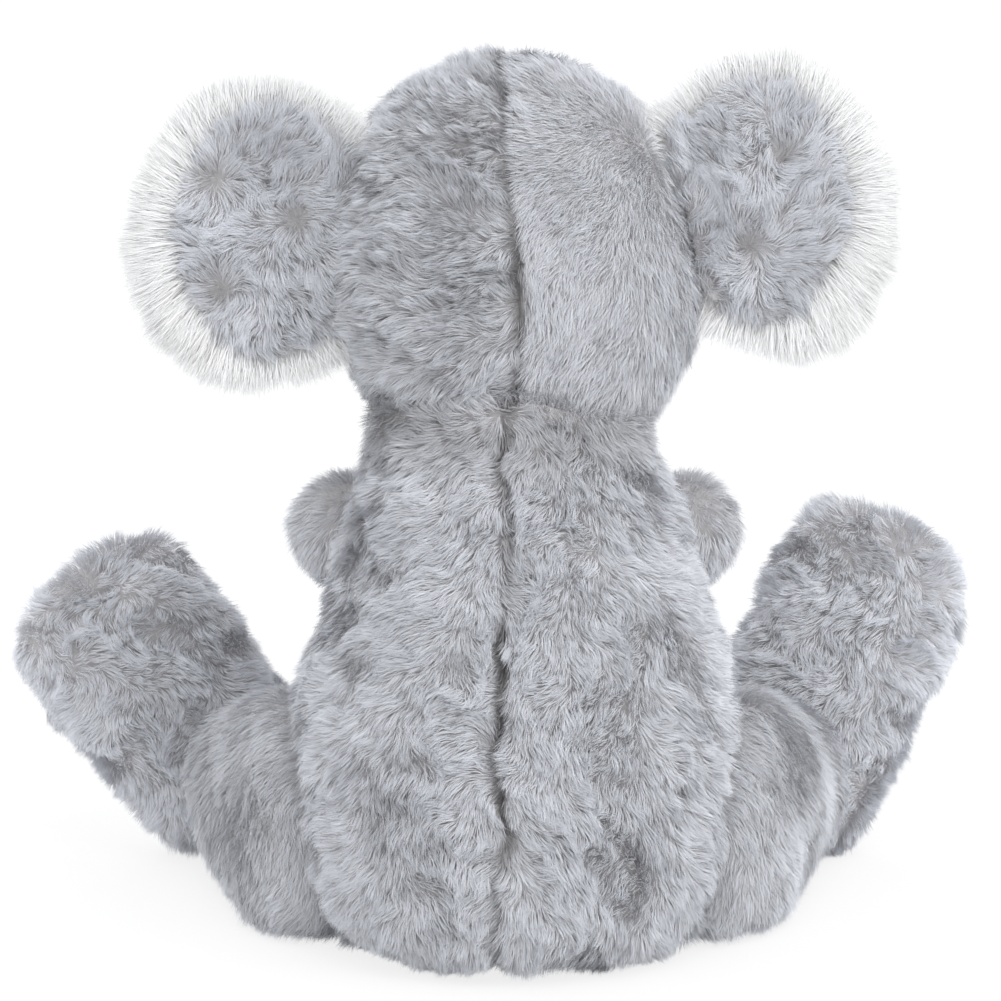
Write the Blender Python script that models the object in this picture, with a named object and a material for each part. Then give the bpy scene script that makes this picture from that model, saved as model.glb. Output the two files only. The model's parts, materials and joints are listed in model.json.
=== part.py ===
# A plush koala that sits on its seat, with a sewn head, ears, arms and legs.
# Metres, +Z up. The koala faces -Y and its own left side is at +X. The origin
# lies on the flat of the seat, under the middle of the body.
# Every soft form stands for the pile's mean surface, not for the cloth under it.

import math

import bmesh
import bpy
import numpy as np
from mathutils import Matrix, Vector

# Clearances and walls that the whole toy shares
FIT = 0.0003  # between two pieces that touch
COVER = 0.009  # a cover's wall: its backing and the pile on it
CUT_OVERRUN = 0.004  # how far a cutter stands past what it cuts

# Body: a pear with a flat seat
NECK_HEIGHT = 0.1775
BODY_HALF_WIDTH = 0.078
BODY_HALF_DEPTH = 0.076
BACK_SEAM_OFFSET = 0.004
SEAT_PANEL_RADIUS = 0.044
POUCH_TOP = 0.040
BELLY_HALF_WIDTH = 0.037
BELLY_HALF_HEIGHT = 0.060
BELLY_MIDDLE = 0.086

# Neck and head
NECK_TILT = math.radians(12)
HEAD_ASIDE = -0.0015
HEAD_HEIGHT = 0.120
HEAD_HALF_WIDTH = 0.0595
HEAD_HALF_DEPTH = 0.055
HEAD_FORWARD = 0.005
MUZZLE_HALF_WIDTH = 0.030
MUZZLE_HALF_DEPTH = 0.024
MUZZLE_HALF_HEIGHT = 0.024
MUZZLE_MIDDLE = 0.034
MUZZLE_STANDS = 0.011  # proud of the face
MUZZLE_PANEL_HALF_WIDTH = 0.026
MUZZLE_PANEL_HALF_HEIGHT = 0.021
CUTTER_REACH = 2 * (NECK_HEIGHT + HEAD_HEIGHT)  # edge of the blocks that halve or trim a form

# Ears
EAR_MIDDLE = {"left": 0.0555, "right": 0.0625}
EAR_BACKWARD = 0.006
EAR_SINK = 0.0005
EAR_LEAN = {"left": math.radians(4.6), "right": math.radians(11.4)}
EAR_YAW = math.radians(8)
EAR_REACH = {"left": 0.066, "right": 0.062}
EAR_HALF_HEIGHT = 0.045
EAR_HALF_THICKNESS = 0.0085
EAR_ROOT_RADIUS = 0.0063
EAR_RIM = 0.006  # how much further the lining reaches than the back

# Eyes and nose, each held by a washer inside the cover
EYE_RADIUS = 0.0070
EYE_HEIGHT = 0.0048
EYE_SPREAD = 0.024
EYE_MIDDLE_SHARE = 0.55  # of the head's height
EYE_MIDDLE = EYE_MIDDLE_SHARE * HEAD_HEIGHT
NOSE_HALF_WIDTH = 0.0105
NOSE_HALF_HEIGHT = 0.0155
NOSE_DEPTH = 0.0085
NOSE_MIDDLE = 0.046
STEM_RADIUS = 0.0018
STEM_PAST_WASHER = 0.004
WASHER_RADIUS = 0.0065
WASHER_THICKNESS = 0.0014
THREAD_RADIUS = 0.0008
MOUTH_HALF_WIDTH = 0.011

# Arms
SHOULDER_BELOW_NECK = 0.0465
SHOULDER_HEIGHT = NECK_HEIGHT - SHOULDER_BELOW_NECK
SHOULDER_TURN = math.radians(28)  # from straight sideways towards the front
SHOULDER_CUT = 0.0055  # depth of the flat that the arm is sewn on
ARM_LENGTH = 0.106
ARM_RADIUS = 0.021
ARM_STANDS = 0.0105  # its middle line, off the flat
ARM_DROP = math.radians(26)
ARM_OPENING = 0.008

# Legs, each set in a pocket in the body's side that it can turn in
HIP_HEIGHT = 0.030
HIP_FORWARD = 0.016
HIP_TURN = math.radians(-16)  # likewise, so it faces back a little
HIP_CUT = 0.0268  # depth of the pocket
POCKET_CLEARANCE = 0.0015
LEG_OPENING = 0.013
LEG_LENGTH = 0.158
LEG_BEHIND_HIP = 0.0505  # the thigh's rear is round about the hip
LEG_HALF_WIDTH = 0.0255
LEG_HALF_HEIGHT = 0.0505
LEG_STANDS = 0.0155  # the thigh's middle line, off the pocket's floor
FLOOR_CLEARANCE = 0.001
FOOT_LENGTH = 0.130
FOOT_HALF_WIDTH = 0.0360
FOOT_HALF_THICKNESS = 0.023
FOOT_BEHIND_ANKLE = 0.031
ANKLE_FROM_END = 0.018  # of the thigh, back along it
ANKLE_HEIGHT = {"left": 0.0245, "right": 0.0285}
FOOT_LEAN = {"left": math.radians(-4), "right": math.radians(9)}
FOOT_YAW = math.radians(12)
FOOT_TILT = {"left": math.radians(36), "right": math.radians(22)}
SOLE_DEPTH = 0.008

# Outlines as shares: the place along the form, then its half sizes
BODY_SHARES = (
    (0.000, 0.66, 0.67),
    (0.035, 0.85, 0.86),
    (0.110, 0.96, 0.97),
    (0.240, 1.00, 1.00),
    (0.400, 0.975, 0.965),
    (0.570, 0.885, 0.870),
    (0.740, 0.765, 0.755),
    (0.900, 0.655, 0.650),
    (1.020, 0.600, 0.585),
    (1.140, 0.575, 0.550),
)
HEAD_SHARES = (
    (-0.10, 0.60, 0.60),
    (0.00, 0.78, 0.78),
    (0.08, 0.87, 0.87),
    (0.165, 0.955, 0.95),
    (0.30, 0.995, 1.00),
    (0.42, 1.00, 1.00),
    (0.55, 0.99, 0.98),
    (0.67, 0.94, 0.93),
    (0.80, 0.81, 0.80),
    (0.89, 0.63, 0.62),
    (0.95, 0.43, 0.42),
    (0.985, 0.23, 0.22),
    (1.00, 0.03, 0.03),
)
EAR_SHARES = (
    (0.00, 0.74, 0.74),
    (0.07, 0.79, 0.50),
    (0.20, 0.92, 0.84),
    (0.42, 1.00, 1.00),
    (0.65, 0.93, 0.92),
    (0.84, 0.69, 0.68),
    (0.95, 0.40, 0.36),
    (1.00, 0.08, 0.06),
)
ARM_SHARES = (
    (0.00, 0.05, 0.05),
    (0.03, 0.42, 0.42),
    (0.09, 0.75, 0.75),
    (0.20, 1.00, 1.00),
    (0.35, 1.00, 1.00),
    (0.52, 0.93, 0.93),
    (0.68, 0.86, 0.86),
    (0.82, 0.89, 0.86),
    (0.91, 0.78, 0.76),
    (0.97, 0.48, 0.46),
    (1.00, 0.06, 0.06),
)
LEG_SHARES = (
    (0.00, 0.05, 0.05),
    (0.03, 0.42, 0.42),
    (0.09, 0.74, 0.69),
    (0.16, 0.92, 0.86),
    (0.24, 1.00, 0.96),
    (0.32, 1.00, 1.00),
    (0.42, 1.00, 0.94),
    (0.52, 1.00, 0.82),
    (0.65, 1.00, 0.70),
    (0.80, 0.98, 0.58),
    (0.90, 0.85, 0.50),
    (0.97, 0.50, 0.32),
    (1.00, 0.06, 0.05),
)
FOOT_SHARES = (
    (0.00, 0.05, 0.05),
    (0.03, 0.48, 0.40),
    (0.09, 0.78, 0.70),
    (0.20, 0.94, 0.94),
    (0.38, 0.97, 1.00),
    (0.55, 1.00, 0.96),
    (0.72, 1.03, 0.90),
    (0.86, 0.97, 0.79),
    (0.94, 0.79, 0.60),
    (0.985, 0.45, 0.33),
    (1.00, 0.06, 0.05),
)
EAR_ROOT_SHARES = (0.92, 0.70, 0.38)  # of a quarter turn, round the fold
DOME_SHARES = ((0.0, 1.00), (0.25, 0.97), (0.55, 0.84), (0.80, 0.60), (0.95, 0.31), (1.0, 0.03))
SLOT_SHARE = 0.98  # of the pocket's height
MOUTH_DROP_SHARE = 0.25  # of the muzzle's half height, like the next
MOUTH_DIP_SHARE = 0.2
FOOT_SQUARENESS = 2.5
ROUND = 2.0

# Facets
OUTER_SIDES = 24
INNER_SIDES = 12
SMALL_SIDES = 16
OUTER_RINGS = 12
INNER_RINGS = 8
HEAD_RINGS = 14
INNER_HEAD_RINGS = 10

SIDES = {"left": 1, "right": -1}
ALONG_X = Matrix(((0, 0, 1, 0), (0, 1, 0, 0), (1, 0, 0, 0), (0, 0, 0, 1)))
ALONG_MINUS_Y = Matrix(((1, 0, 0, 0), (0, 0, -1, 0), (0, 1, 0, 0), (0, 0, 0, 1)))


# The finishes

def make_material(name, colour, roughness):
    material = bpy.data.materials.new(name)
    material.use_nodes = True
    shader = material.node_tree.nodes["Principled BSDF"]
    shader.inputs["Base Color"].default_value = (*colour, 1)
    shader.inputs["Roughness"].default_value = roughness
    shader.inputs["Metallic"].default_value = 0
    material.diffuse_color = (*colour, 1)
    return material


def finish(obj, name, material):
    """Names a finished piece and gives it a finish of its own."""
    obj.name = name
    obj.data.name = name
    obj.data.materials.clear()
    own = material.copy()
    own.name = name + "_finish"
    obj.data.materials.append(own)
    obj.data.shade_smooth()
    obj.data.set_sharp_from_angle(angle=math.radians(40))
    return obj


# Making and cutting solids

def new_object(name, mesh):
    obj = bpy.data.objects.new(name, mesh)
    bpy.context.scene.collection.objects.link(obj)
    return obj


def mesh_object(name, bm):
    bmesh.ops.recalc_face_normals(bm, faces=bm.faces)
    mesh = bpy.data.meshes.new(name)
    bm.to_mesh(mesh)
    bm.free()
    return new_object(name, mesh)


def flowing(rows, count):
    """Reads count rows from a smooth curve through the given ones."""
    rows = np.array(rows, float)
    padded = np.vstack([2 * rows[0] - rows[1], rows, 2 * rows[-1] - rows[-2]])
    read = []
    for place in np.linspace(0, len(rows) - 1, count):
        i = min(int(place), len(rows) - 2)
        t = place - i
        a, b, c, d = padded[i : i + 4]
        bend = (2 * a - 5 * b + 4 * c - d) * t + (3 * b - a - 3 * c + d) * t * t
        read.append(b + 0.5 * t * ((c - a) + bend))
    return np.array(read)


def loft(name, rows, sides, place, squareness=ROUND):
    """A closed form through oval rings: rows of (along, half x, half y, middle x, middle y)."""
    bm = bmesh.new()
    turns = np.arange(sides) * 2 * math.pi / sides
    power = 2 / squareness
    across = np.sign(np.cos(turns)) * np.abs(np.cos(turns)) ** power
    up = np.sign(np.sin(turns)) * np.abs(np.sin(turns)) ** power
    rings = []
    for along, half_x, half_y, middle_x, middle_y in rows:
        spots = [
            place @ Vector((middle_x + half_x * x, middle_y + half_y * y, along))
            for x, y in zip(across, up)
        ]
        rings.append([bm.verts.new(spot) for spot in spots])
    for low, high in zip(rings, rings[1:]):
        for k in range(sides):
            after = (k + 1) % sides
            bm.faces.new((low[k], low[after], high[after]))
            bm.faces.new((low[k], high[after], high[k]))
    bm.faces.new(rings[0][::-1])
    bm.faces.new(rings[-1])
    return mesh_object(name, bm)


def copy_of(obj):
    return new_object(obj.name, obj.data.copy())


def remove(*objects):
    for obj in objects:
        bpy.data.objects.remove(obj)


def joined(obj, tool, operation):
    """The object after an exact boolean with the tool, which is used up."""
    cutter = obj.modifiers.new(operation.lower(), "BOOLEAN")
    cutter.operation = operation
    cutter.object = tool
    graph = bpy.context.evaluated_depsgraph_get()
    mesh = bpy.data.meshes.new_from_object(obj.evaluated_get(graph))
    obj.modifiers.clear()
    obj.data = mesh
    remove(tool)
    return obj


def less(obj, tool):
    return joined(obj, tool, "DIFFERENCE")


def within(obj, tool):
    return joined(obj, tool, "INTERSECT")


def plus(obj, tool):
    return joined(obj, tool, "UNION")


def facing(point, normal):
    """A frame at the point whose +Z is the normal."""
    turn = Vector(normal).to_track_quat("Z", "Y").to_matrix().to_4x4()
    return Matrix.Translation(point) @ turn


def block_below(frame, gap=0.0):
    """A big block under the frame's XY plane, lowered by the gap."""
    bm = bmesh.new()
    lowered = frame @ Matrix.Translation((0, 0, -CUTTER_REACH / 2 - gap))
    bmesh.ops.create_cube(bm, size=CUTTER_REACH, matrix=lowered)
    return mesh_object("block", bm)


def column(frame, half_x, half_y, low, high, sides=OUTER_SIDES):
    """An oval column along the frame's Z."""
    rows = [(low, half_x, half_y, 0, 0), (high, half_x, half_y, 0, 0)]
    return loft("column", rows, sides, frame)


def tidied(obj):
    """Joins points that a boolean or a curve's caps left apart."""
    bm = bmesh.new()
    bm.from_mesh(obj.data)
    bmesh.ops.remove_doubles(bm, verts=bm.verts, dist=FIT / 100)
    bm.to_mesh(obj.data)
    bm.free()
    return obj


def mirrored(side):
    return Matrix.Scale(SIDES[side], 4, (1, 0, 0))


# Body

def body_rows(inset, rings):
    """The pear's rings. The inset keeps the seat's floor as thick as its sides."""
    rows = []
    for height, width, depth in flowing(BODY_SHARES, rings):
        rows.append(
            (
                max(height * NECK_HEIGHT, inset),
                width * BODY_HALF_WIDTH - inset,
                depth * BODY_HALF_DEPTH - inset,
                0,
                0,
            )
        )
    return [row for row, after in zip(rows, rows[1:] + [None]) if after is None or after[0] > row[0]]


def body_half_width(height):
    heights, widths, _ = np.array(BODY_SHARES).T
    return float(np.interp(height / NECK_HEIGHT, heights, widths)) * BODY_HALF_WIDTH


def body_half_depth(height):
    heights, _, depths = np.array(BODY_SHARES).T
    return float(np.interp(height / NECK_HEIGHT, heights, depths)) * BODY_HALF_DEPTH


def body_touch(height, turn):
    """Where a plane that faces sideways, turned to the front, touches, and its lean there."""
    half_x, half_y = body_half_width(height), body_half_depth(height)
    reach = math.hypot(half_x * math.cos(turn), half_y * math.sin(turn))
    spot = Vector(
        (half_x**2 * math.cos(turn) / reach, -(half_y**2) * math.sin(turn) / reach, height)
    )
    step = NECK_HEIGHT / 10
    narrowing = body_half_width(height - step) - body_half_width(height + step)
    return spot, math.atan2(narrowing, 2 * step)


NECK_FRAME = Matrix.Translation((0, 0, NECK_HEIGHT)) @ Matrix.Rotation(NECK_TILT, 4, "X")
NECK_OVER = NECK_FRAME @ Matrix.Rotation(math.pi, 4, "X")


def shoulder_frame():
    """The left shoulder's flat: +Z out of the body along the joint's axis, +X along the arm."""
    spot, lean = body_touch(SHOULDER_HEIGHT, SHOULDER_TURN)
    out = Vector(
        (
            math.cos(SHOULDER_TURN) * math.cos(lean),
            -math.sin(SHOULDER_TURN) * math.cos(lean),
            math.sin(lean),
        )
    )
    forward = Vector((-math.sin(SHOULDER_TURN), -math.cos(SHOULDER_TURN), 0))
    upward = out.cross(forward)
    if upward.z < 0:
        upward = -upward
    along = forward * math.cos(ARM_DROP) - upward * math.sin(ARM_DROP)
    across = out.cross(along)
    turn = Matrix((along, across, out)).transposed().to_4x4()
    return Matrix.Translation(spot - out * SHOULDER_CUT) @ turn


def hip_frame():
    """The floor of the left hip's pocket: +Z out of the body along the joint's axis."""
    half_x, half_y = body_half_width(HIP_HEIGHT), body_half_depth(HIP_HEIGHT)
    out = Vector((math.cos(HIP_TURN), -math.sin(HIP_TURN), 0))
    reach = math.hypot(half_x * out.x, half_y * out.y)
    spot = Vector((half_x**2 * out.x / reach, half_y**2 * out.y / reach, HIP_HEIGHT))
    forward = Vector((-math.sin(HIP_TURN), -math.cos(HIP_TURN), 0))
    spot += forward * (HIP_FORWARD + spot.y) / math.cos(HIP_TURN)
    up = Vector((0, 0, 1))
    turn = Matrix((forward, up, out)).transposed().to_4x4()
    return Matrix.Translation(spot - out * HIP_CUT) @ turn


def hip_pocket(side, gap):
    """The room in the body's side that a thigh turns in, open to the front and the floor."""
    frame = mirrored(side) @ hip_frame()
    radius = LEG_BEHIND_HIP + POCKET_CLEARANCE + gap
    pocket = column(frame, radius, radius, -gap, LEG_LENGTH)
    lid = Matrix.Translation((LEG_LENGTH / 2, 0, LEG_LENGTH / 2 - gap))
    bm = bmesh.new()
    sizes = Matrix.Diagonal((LEG_LENGTH, 2 * radius * SLOT_SHARE, LEG_LENGTH, 1))
    bmesh.ops.create_cube(bm, size=1, matrix=frame @ lid @ sizes)
    return plus(pocket, mesh_object("slot", bm))


def trim_for_limbs(form, gap):
    """Cuts the flats for both arms, the pockets for both legs, and the neck, off the body."""
    for side in SIDES:
        over = mirrored(side) @ shoulder_frame() @ Matrix.Rotation(math.pi, 4, "X")
        form = less(form, block_below(over, -gap))
        form = less(form, hip_pocket(side, gap))
    return less(form, block_below(NECK_OVER, -gap))


def make_body(fur, belly_fur, seat_cloth, fibre, pellets):
    outer = loft("outer", body_rows(0, OUTER_RINGS), OUTER_SIDES, Matrix.Identity(4))
    inner = loft("inner", body_rows(COVER, INNER_RINGS), INNER_SIDES, Matrix.Identity(4))
    core = loft("core", body_rows(COVER + FIT, INNER_RINGS), INNER_SIDES, Matrix.Identity(4))
    for side in SIDES:
        inner = less(inner, hip_pocket(side, COVER))
        core = less(core, hip_pocket(side, COVER + FIT))
    cover = less(trim_for_limbs(outer, FIT / 2), inner)

    over_seat = Matrix.Identity(4)
    seat_top = COVER + CUT_OVERRUN
    panel = within(
        copy_of(cover),
        column(over_seat, SEAT_PANEL_RADIUS, SEAT_PANEL_RADIUS, -CUT_OVERRUN, seat_top),
    )
    finish(tidied(panel), "seat_panel", seat_cloth)

    before_belly = Matrix.Translation((0, 0, BELLY_MIDDLE)) @ ALONG_MINUS_Y
    belly = within(
        copy_of(cover),
        column(before_belly, BELLY_HALF_WIDTH, BELLY_HALF_HEIGHT, 0, CUTTER_REACH),
    )
    finish(tidied(belly), "belly_panel", belly_fur)

    hole = SEAT_PANEL_RADIUS + FIT
    around = (BELLY_HALF_WIDTH + FIT, BELLY_HALF_HEIGHT + FIT)
    for side, out in SIDES.items():
        seam = facing((BACK_SEAM_OFFSET, 0, 0), (out, 0, 0))
        half = less(copy_of(cover), block_below(seam, -FIT / 2))
        half = less(half, column(before_belly, *around, 0, CUTTER_REACH))
        half = less(half, column(over_seat, hole, hole, -CUT_OVERRUN, seat_top))
        finish(tidied(half), "back_panel_" + side, fur)
    remove(cover)

    core = trim_for_limbs(core, FIT / 2)
    pouch_lid = facing((0, 0, POUCH_TOP), (0, 0, 1))
    finish(tidied(within(copy_of(core), block_below(pouch_lid))), "bean_pouch", pellets)
    finish(tidied(less(core, block_below(pouch_lid, -FIT))), "body_stuffing", fibre)


# Head

HEAD_FRAME = NECK_FRAME @ Matrix.Translation((HEAD_ASIDE, 0, 0))


def head_form(inset, rings, sides):
    """The head with its muzzle, smaller by the inset all round."""
    rows = []
    for height, width, depth in flowing(HEAD_SHARES, rings):
        squeeze = min(1.0, (1 - height) * HEAD_HEIGHT / HEAD_HALF_WIDTH)
        shrink = inset * max(squeeze, width)
        rows.append(
            (
                height * (HEAD_HEIGHT - inset),
                max(width * HEAD_HALF_WIDTH - shrink, width * HEAD_HALF_WIDTH / 2),
                max(depth * HEAD_HALF_DEPTH - shrink, depth * HEAD_HALF_DEPTH / 2),
                0,
                -HEAD_FORWARD,
            )
        )
    form = loft("head", rows, sides, HEAD_FRAME)
    muzzle = ball(
        muzzle_middle(),
        (
            MUZZLE_HALF_WIDTH - inset,
            MUZZLE_HALF_DEPTH - inset,
            MUZZLE_HALF_HEIGHT - inset,
        ),
        sides,
    )
    return plus(form, muzzle)


def muzzle_middle():
    """The muzzle ball's middle, in the head's frame."""
    depth = head_half(MUZZLE_MIDDLE)[1]
    y = -HEAD_FORWARD - depth - MUZZLE_STANDS + MUZZLE_HALF_DEPTH
    return Vector((0, y, MUZZLE_MIDDLE))


def ball(middle, halves, sides):
    rows = []
    for turn in np.linspace(-math.pi / 2, math.pi / 2, sides // 2 + 1)[1:-1]:
        flat = math.cos(turn)
        rows.append((math.sin(turn) * halves[2], flat * halves[0], flat * halves[1], 0, 0))
    return loft("ball", rows, sides, HEAD_FRAME @ Matrix.Translation(middle))


def head_half(height):
    heights, widths, depths = np.array(HEAD_SHARES).T
    share = height / HEAD_HEIGHT
    width = float(np.interp(share, heights, widths)) * HEAD_HALF_WIDTH
    depth = float(np.interp(share, heights, depths)) * HEAD_HALF_DEPTH
    return width, depth


def face_at(x, height):
    """The face's surface in the head's frame, and the way it looks."""
    width, depth = head_half(height)
    across = x / width
    y = -HEAD_FORWARD - depth * math.sqrt(1 - across**2)
    return Vector((x, y, height)), Vector((across / width, -math.sqrt(1 - across**2) / depth, 0))


def eye_frame(side):
    spot, out = face_at(SIDES[side] * EYE_SPREAD, EYE_MIDDLE)
    return HEAD_FRAME @ facing(spot, out)


def nose_frame():
    """On the muzzle's front, at the nose's height."""
    middle = muzzle_middle()
    rise = (NOSE_MIDDLE - middle.z) / MUZZLE_HALF_HEIGHT
    y = middle.y - MUZZLE_HALF_DEPTH * math.sqrt(1 - rise**2)
    out = Vector((0, (y - middle.y) / MUZZLE_HALF_DEPTH**2, rise / MUZZLE_HALF_HEIGHT))
    return HEAD_FRAME @ facing((0, y, NOSE_MIDDLE), out)


def dome_on_stem(name, frame, half_x, half_y, height):
    """A dome whose flat lies on the cover, with the stem that goes through it."""
    rows = [(share * height + FIT, reach * half_x, reach * half_y, 0, 0) for share, reach in DOME_SHARES]
    dome = loft(name, rows, SMALL_SIDES, frame)
    depth = COVER + WASHER_THICKNESS + STEM_PAST_WASHER
    stem = column(frame, STEM_RADIUS, STEM_RADIUS, -depth, height / 2, SMALL_SIDES // 2)
    return plus(dome, stem)


def washer(frame):
    """A ring that grips the stem just inside the cover."""
    low = -COVER - FIT - WASHER_THICKNESS
    ring = column(frame, WASHER_RADIUS, WASHER_RADIUS, low, -COVER - FIT, SMALL_SIDES)
    bore = STEM_RADIUS + FIT
    return less(ring, column(frame, bore, bore, low - CUT_OVERRUN, 0, SMALL_SIDES // 2))


def stem_hole(frame):
    bore = STEM_RADIUS + FIT
    return column(frame, bore, bore, -COVER - CUT_OVERRUN, COVER, SMALL_SIDES // 2)


def washer_pocket(frame):
    """The room that a washer and its stem take up behind the cover."""
    depth = COVER + WASHER_THICKNESS + STEM_PAST_WASHER + FIT
    wide = WASHER_RADIUS + FIT
    return column(frame, wide, wide, -depth, -COVER, SMALL_SIDES)


def make_mouth(thread):
    """Two stitched curves that meet under the nose, on the muzzle."""
    middle = muzzle_middle()
    stand = THREAD_RADIUS + FIT
    halves = (
        MUZZLE_HALF_WIDTH + stand,
        MUZZLE_HALF_DEPTH + stand,
        MUZZLE_HALF_HEIGHT + stand,
    )
    drop = MOUTH_DROP_SHARE * MUZZLE_HALF_HEIGHT
    dip = MOUTH_DIP_SHARE * MUZZLE_HALF_HEIGHT
    curve = bpy.data.curves.new("mouth", "CURVE")
    curve.dimensions = "3D"
    curve.bevel_depth = THREAD_RADIUS
    curve.bevel_resolution = 1
    curve.use_fill_caps = True
    spline = curve.splines.new("POLY")
    across = np.linspace(-1, 1, 17)
    spline.points.add(len(across) - 1)
    for point, share in zip(spline.points, across):
        x = share * MOUTH_HALF_WIDTH
        z = -drop - dip * abs(math.sin(share * math.pi))
        y = -halves[1] * math.sqrt(1 - (x / halves[0]) ** 2 - (z / halves[2]) ** 2)
        point.co = (*(HEAD_FRAME @ (middle + Vector((x, y, z)))), 1)
    line = bpy.data.objects.new("mouth", curve)
    bpy.context.scene.collection.objects.link(line)
    graph = bpy.context.evaluated_depsgraph_get()
    mouth = new_object("mouth", bpy.data.meshes.new_from_object(line.evaluated_get(graph)))
    remove(line)
    finish(tidied(mouth), "mouth_stitch", thread)


def make_head(fur, muzzle_fur, fibre, plastic, washer_plastic):
    cover = head_form(0, HEAD_RINGS, OUTER_SIDES)
    cover = less(cover, head_form(COVER, INNER_HEAD_RINGS, INNER_SIDES))
    cover = less(cover, block_below(NECK_FRAME, -FIT / 2))
    core = head_form(COVER + FIT, INNER_HEAD_RINGS, INNER_SIDES)
    core = less(core, block_below(NECK_FRAME, -FIT / 2))

    fixings = {"eye_left": eye_frame("left"), "eye_right": eye_frame("right"), "nose": nose_frame()}
    for name, frame in fixings.items():
        if name == "nose":
            sizes = (NOSE_HALF_WIDTH, NOSE_HALF_HEIGHT, NOSE_DEPTH)
        else:
            sizes = (EYE_RADIUS, EYE_RADIUS, EYE_HEIGHT)
        finish(tidied(dome_on_stem(name, frame, *sizes)), name, plastic)
        finish(washer(frame), name + "_washer", washer_plastic)
        cover = less(less(cover, stem_hole(frame)), washer_pocket(frame))
        core = less(core, washer_pocket(frame))
    finish(tidied(core), "head_stuffing", fibre)

    for side in SIDES:
        cover = less(cover, ear_groove(side))
    before_muzzle = HEAD_FRAME @ Matrix.Translation((0, 0, MUZZLE_MIDDLE)) @ ALONG_MINUS_Y
    oval = (MUZZLE_PANEL_HALF_WIDTH, MUZZLE_PANEL_HALF_HEIGHT)
    panel = within(copy_of(cover), column(before_muzzle, *oval, 0, CUTTER_REACH))
    finish(tidied(panel), "muzzle_panel", muzzle_fur)
    around = (MUZZLE_PANEL_HALF_WIDTH + FIT, MUZZLE_PANEL_HALF_HEIGHT + FIT)
    cover = less(cover, column(before_muzzle, *around, 0, CUTTER_REACH))
    for side, out in SIDES.items():
        seam = HEAD_FRAME @ facing((0, 0, 0), (out, 0, 0))
        finish(tidied(less(copy_of(cover), block_below(seam, -FIT / 2))), "head_panel_" + side, fur)
    remove(cover)


# Ears

def ear_frame(side):
    """At the fold: +X out along the ear, +Y to its back, +Z up the fold's axis."""
    width, depth = head_half(EAR_MIDDLE[side])
    off_middle = (EAR_BACKWARD + HEAD_FORWARD) / depth
    x = width * math.sqrt(1 - off_middle**2) - EAR_SINK
    set_in = Matrix.Translation((x, EAR_BACKWARD, EAR_MIDDLE[side]))
    set_in = set_in @ Matrix.Rotation(-EAR_LEAN[side], 4, "Y")
    turned = set_in @ Matrix.Rotation(-EAR_YAW, 4, "Z")
    return HEAD_FRAME @ mirrored(side) @ turned


def ear_form(side, shorter):
    """A lens whose root is rounded about the fold. Rings are stacked outwards, along the ear."""
    reach = EAR_REACH[side] - shorter
    half_height = EAR_HALF_HEIGHT - shorter
    root = EAR_SHARES[0][1] * half_height
    rows = []
    for share in EAR_ROOT_SHARES:
        turn = share * math.pi / 2
        rows.append((-EAR_ROOT_RADIUS * math.sin(turn), EAR_ROOT_RADIUS * math.cos(turn), root, 0, 0))
    for along, height, thick in flowing(EAR_SHARES, INNER_RINGS):
        rows.append((along * reach, thick * EAR_HALF_THICKNESS, height * half_height, 0, 0))
    outwards = Matrix(((0, 0, 1, 0), (1, 0, 0, 0), (0, 1, 0, 0), (0, 0, 0, 1)))
    return loft("ear", rows, OUTER_SIDES, ear_frame(side) @ outwards)


def ear_groove(side):
    """The groove in the head that the ear's root turns in."""
    wide = EAR_ROOT_RADIUS + FIT
    long = EAR_SHARES[0][1] * EAR_HALF_HEIGHT + FIT
    return column(ear_frame(side), wide, wide, -long, long, SMALL_SIDES)


def make_ears(fur, white_fur):
    for side in SIDES:
        frame = ear_frame(side)
        middle = frame.to_translation()
        back = (frame @ Vector((0, 1, 0)) - middle).normalized()
        behind = less(ear_form(side, EAR_RIM), block_below(facing(middle, back), -FIT / 2))
        finish(tidied(behind), "ear_back_" + side, fur)
        before = less(ear_form(side, 0), block_below(facing(middle, -back), -FIT / 2))
        finish(tidied(before), "ear_lining_" + side, white_fur)


# Arms

def arm_form(inset, rings, sides):
    rows = []
    start = inset - ARM_SHARES[3][0] * ARM_LENGTH
    for along, wide, deep in flowing(ARM_SHARES, rings):
        rows.append(
            (
                start + along * (ARM_LENGTH - 2 * inset),
                wide * (ARM_RADIUS - inset),
                deep * (ARM_RADIUS - inset),
                ARM_STANDS,
                0,
            )
        )
    return loft("arm", rows, sides, shoulder_frame() @ ALONG_X)


def opening(frame, radius, reach, gap=0.0):
    """The stuffing hole in a limb's root, from under its flat up into the limb."""
    return column(frame, radius - gap, radius - gap, -CUT_OVERRUN, reach, INNER_SIDES)


def turned_over(obj, side):
    """Moves a left piece to the side it is for, facing out again."""
    bm = bmesh.new()
    bm.from_mesh(obj.data)
    bmesh.ops.transform(bm, matrix=mirrored(side), verts=bm.verts)
    if SIDES[side] < 0:
        bmesh.ops.reverse_faces(bm, faces=bm.faces)
    bm.to_mesh(obj.data)
    bm.free()
    return obj


def make_arms(fur, fibre):
    flat = shoulder_frame()
    hollow = plus(arm_form(COVER, INNER_RINGS, INNER_SIDES), opening(flat, ARM_OPENING, ARM_STANDS))
    cover = less(arm_form(0, OUTER_RINGS, OUTER_SIDES), block_below(flat, -FIT / 2))
    cover = tidied(less(cover, hollow))
    filling = arm_form(COVER + FIT, INNER_RINGS, INNER_SIDES)
    filling = plus(filling, opening(flat, ARM_OPENING, ARM_STANDS, FIT))
    filling = tidied(less(filling, block_below(flat, -FIT / 2)))
    for side in SIDES:
        finish(turned_over(copy_of(cover), side), "arm_" + side, fur)
        finish(turned_over(copy_of(filling), side), "arm_stuffing_" + side, fibre)
    remove(cover, filling)


# Legs

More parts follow.
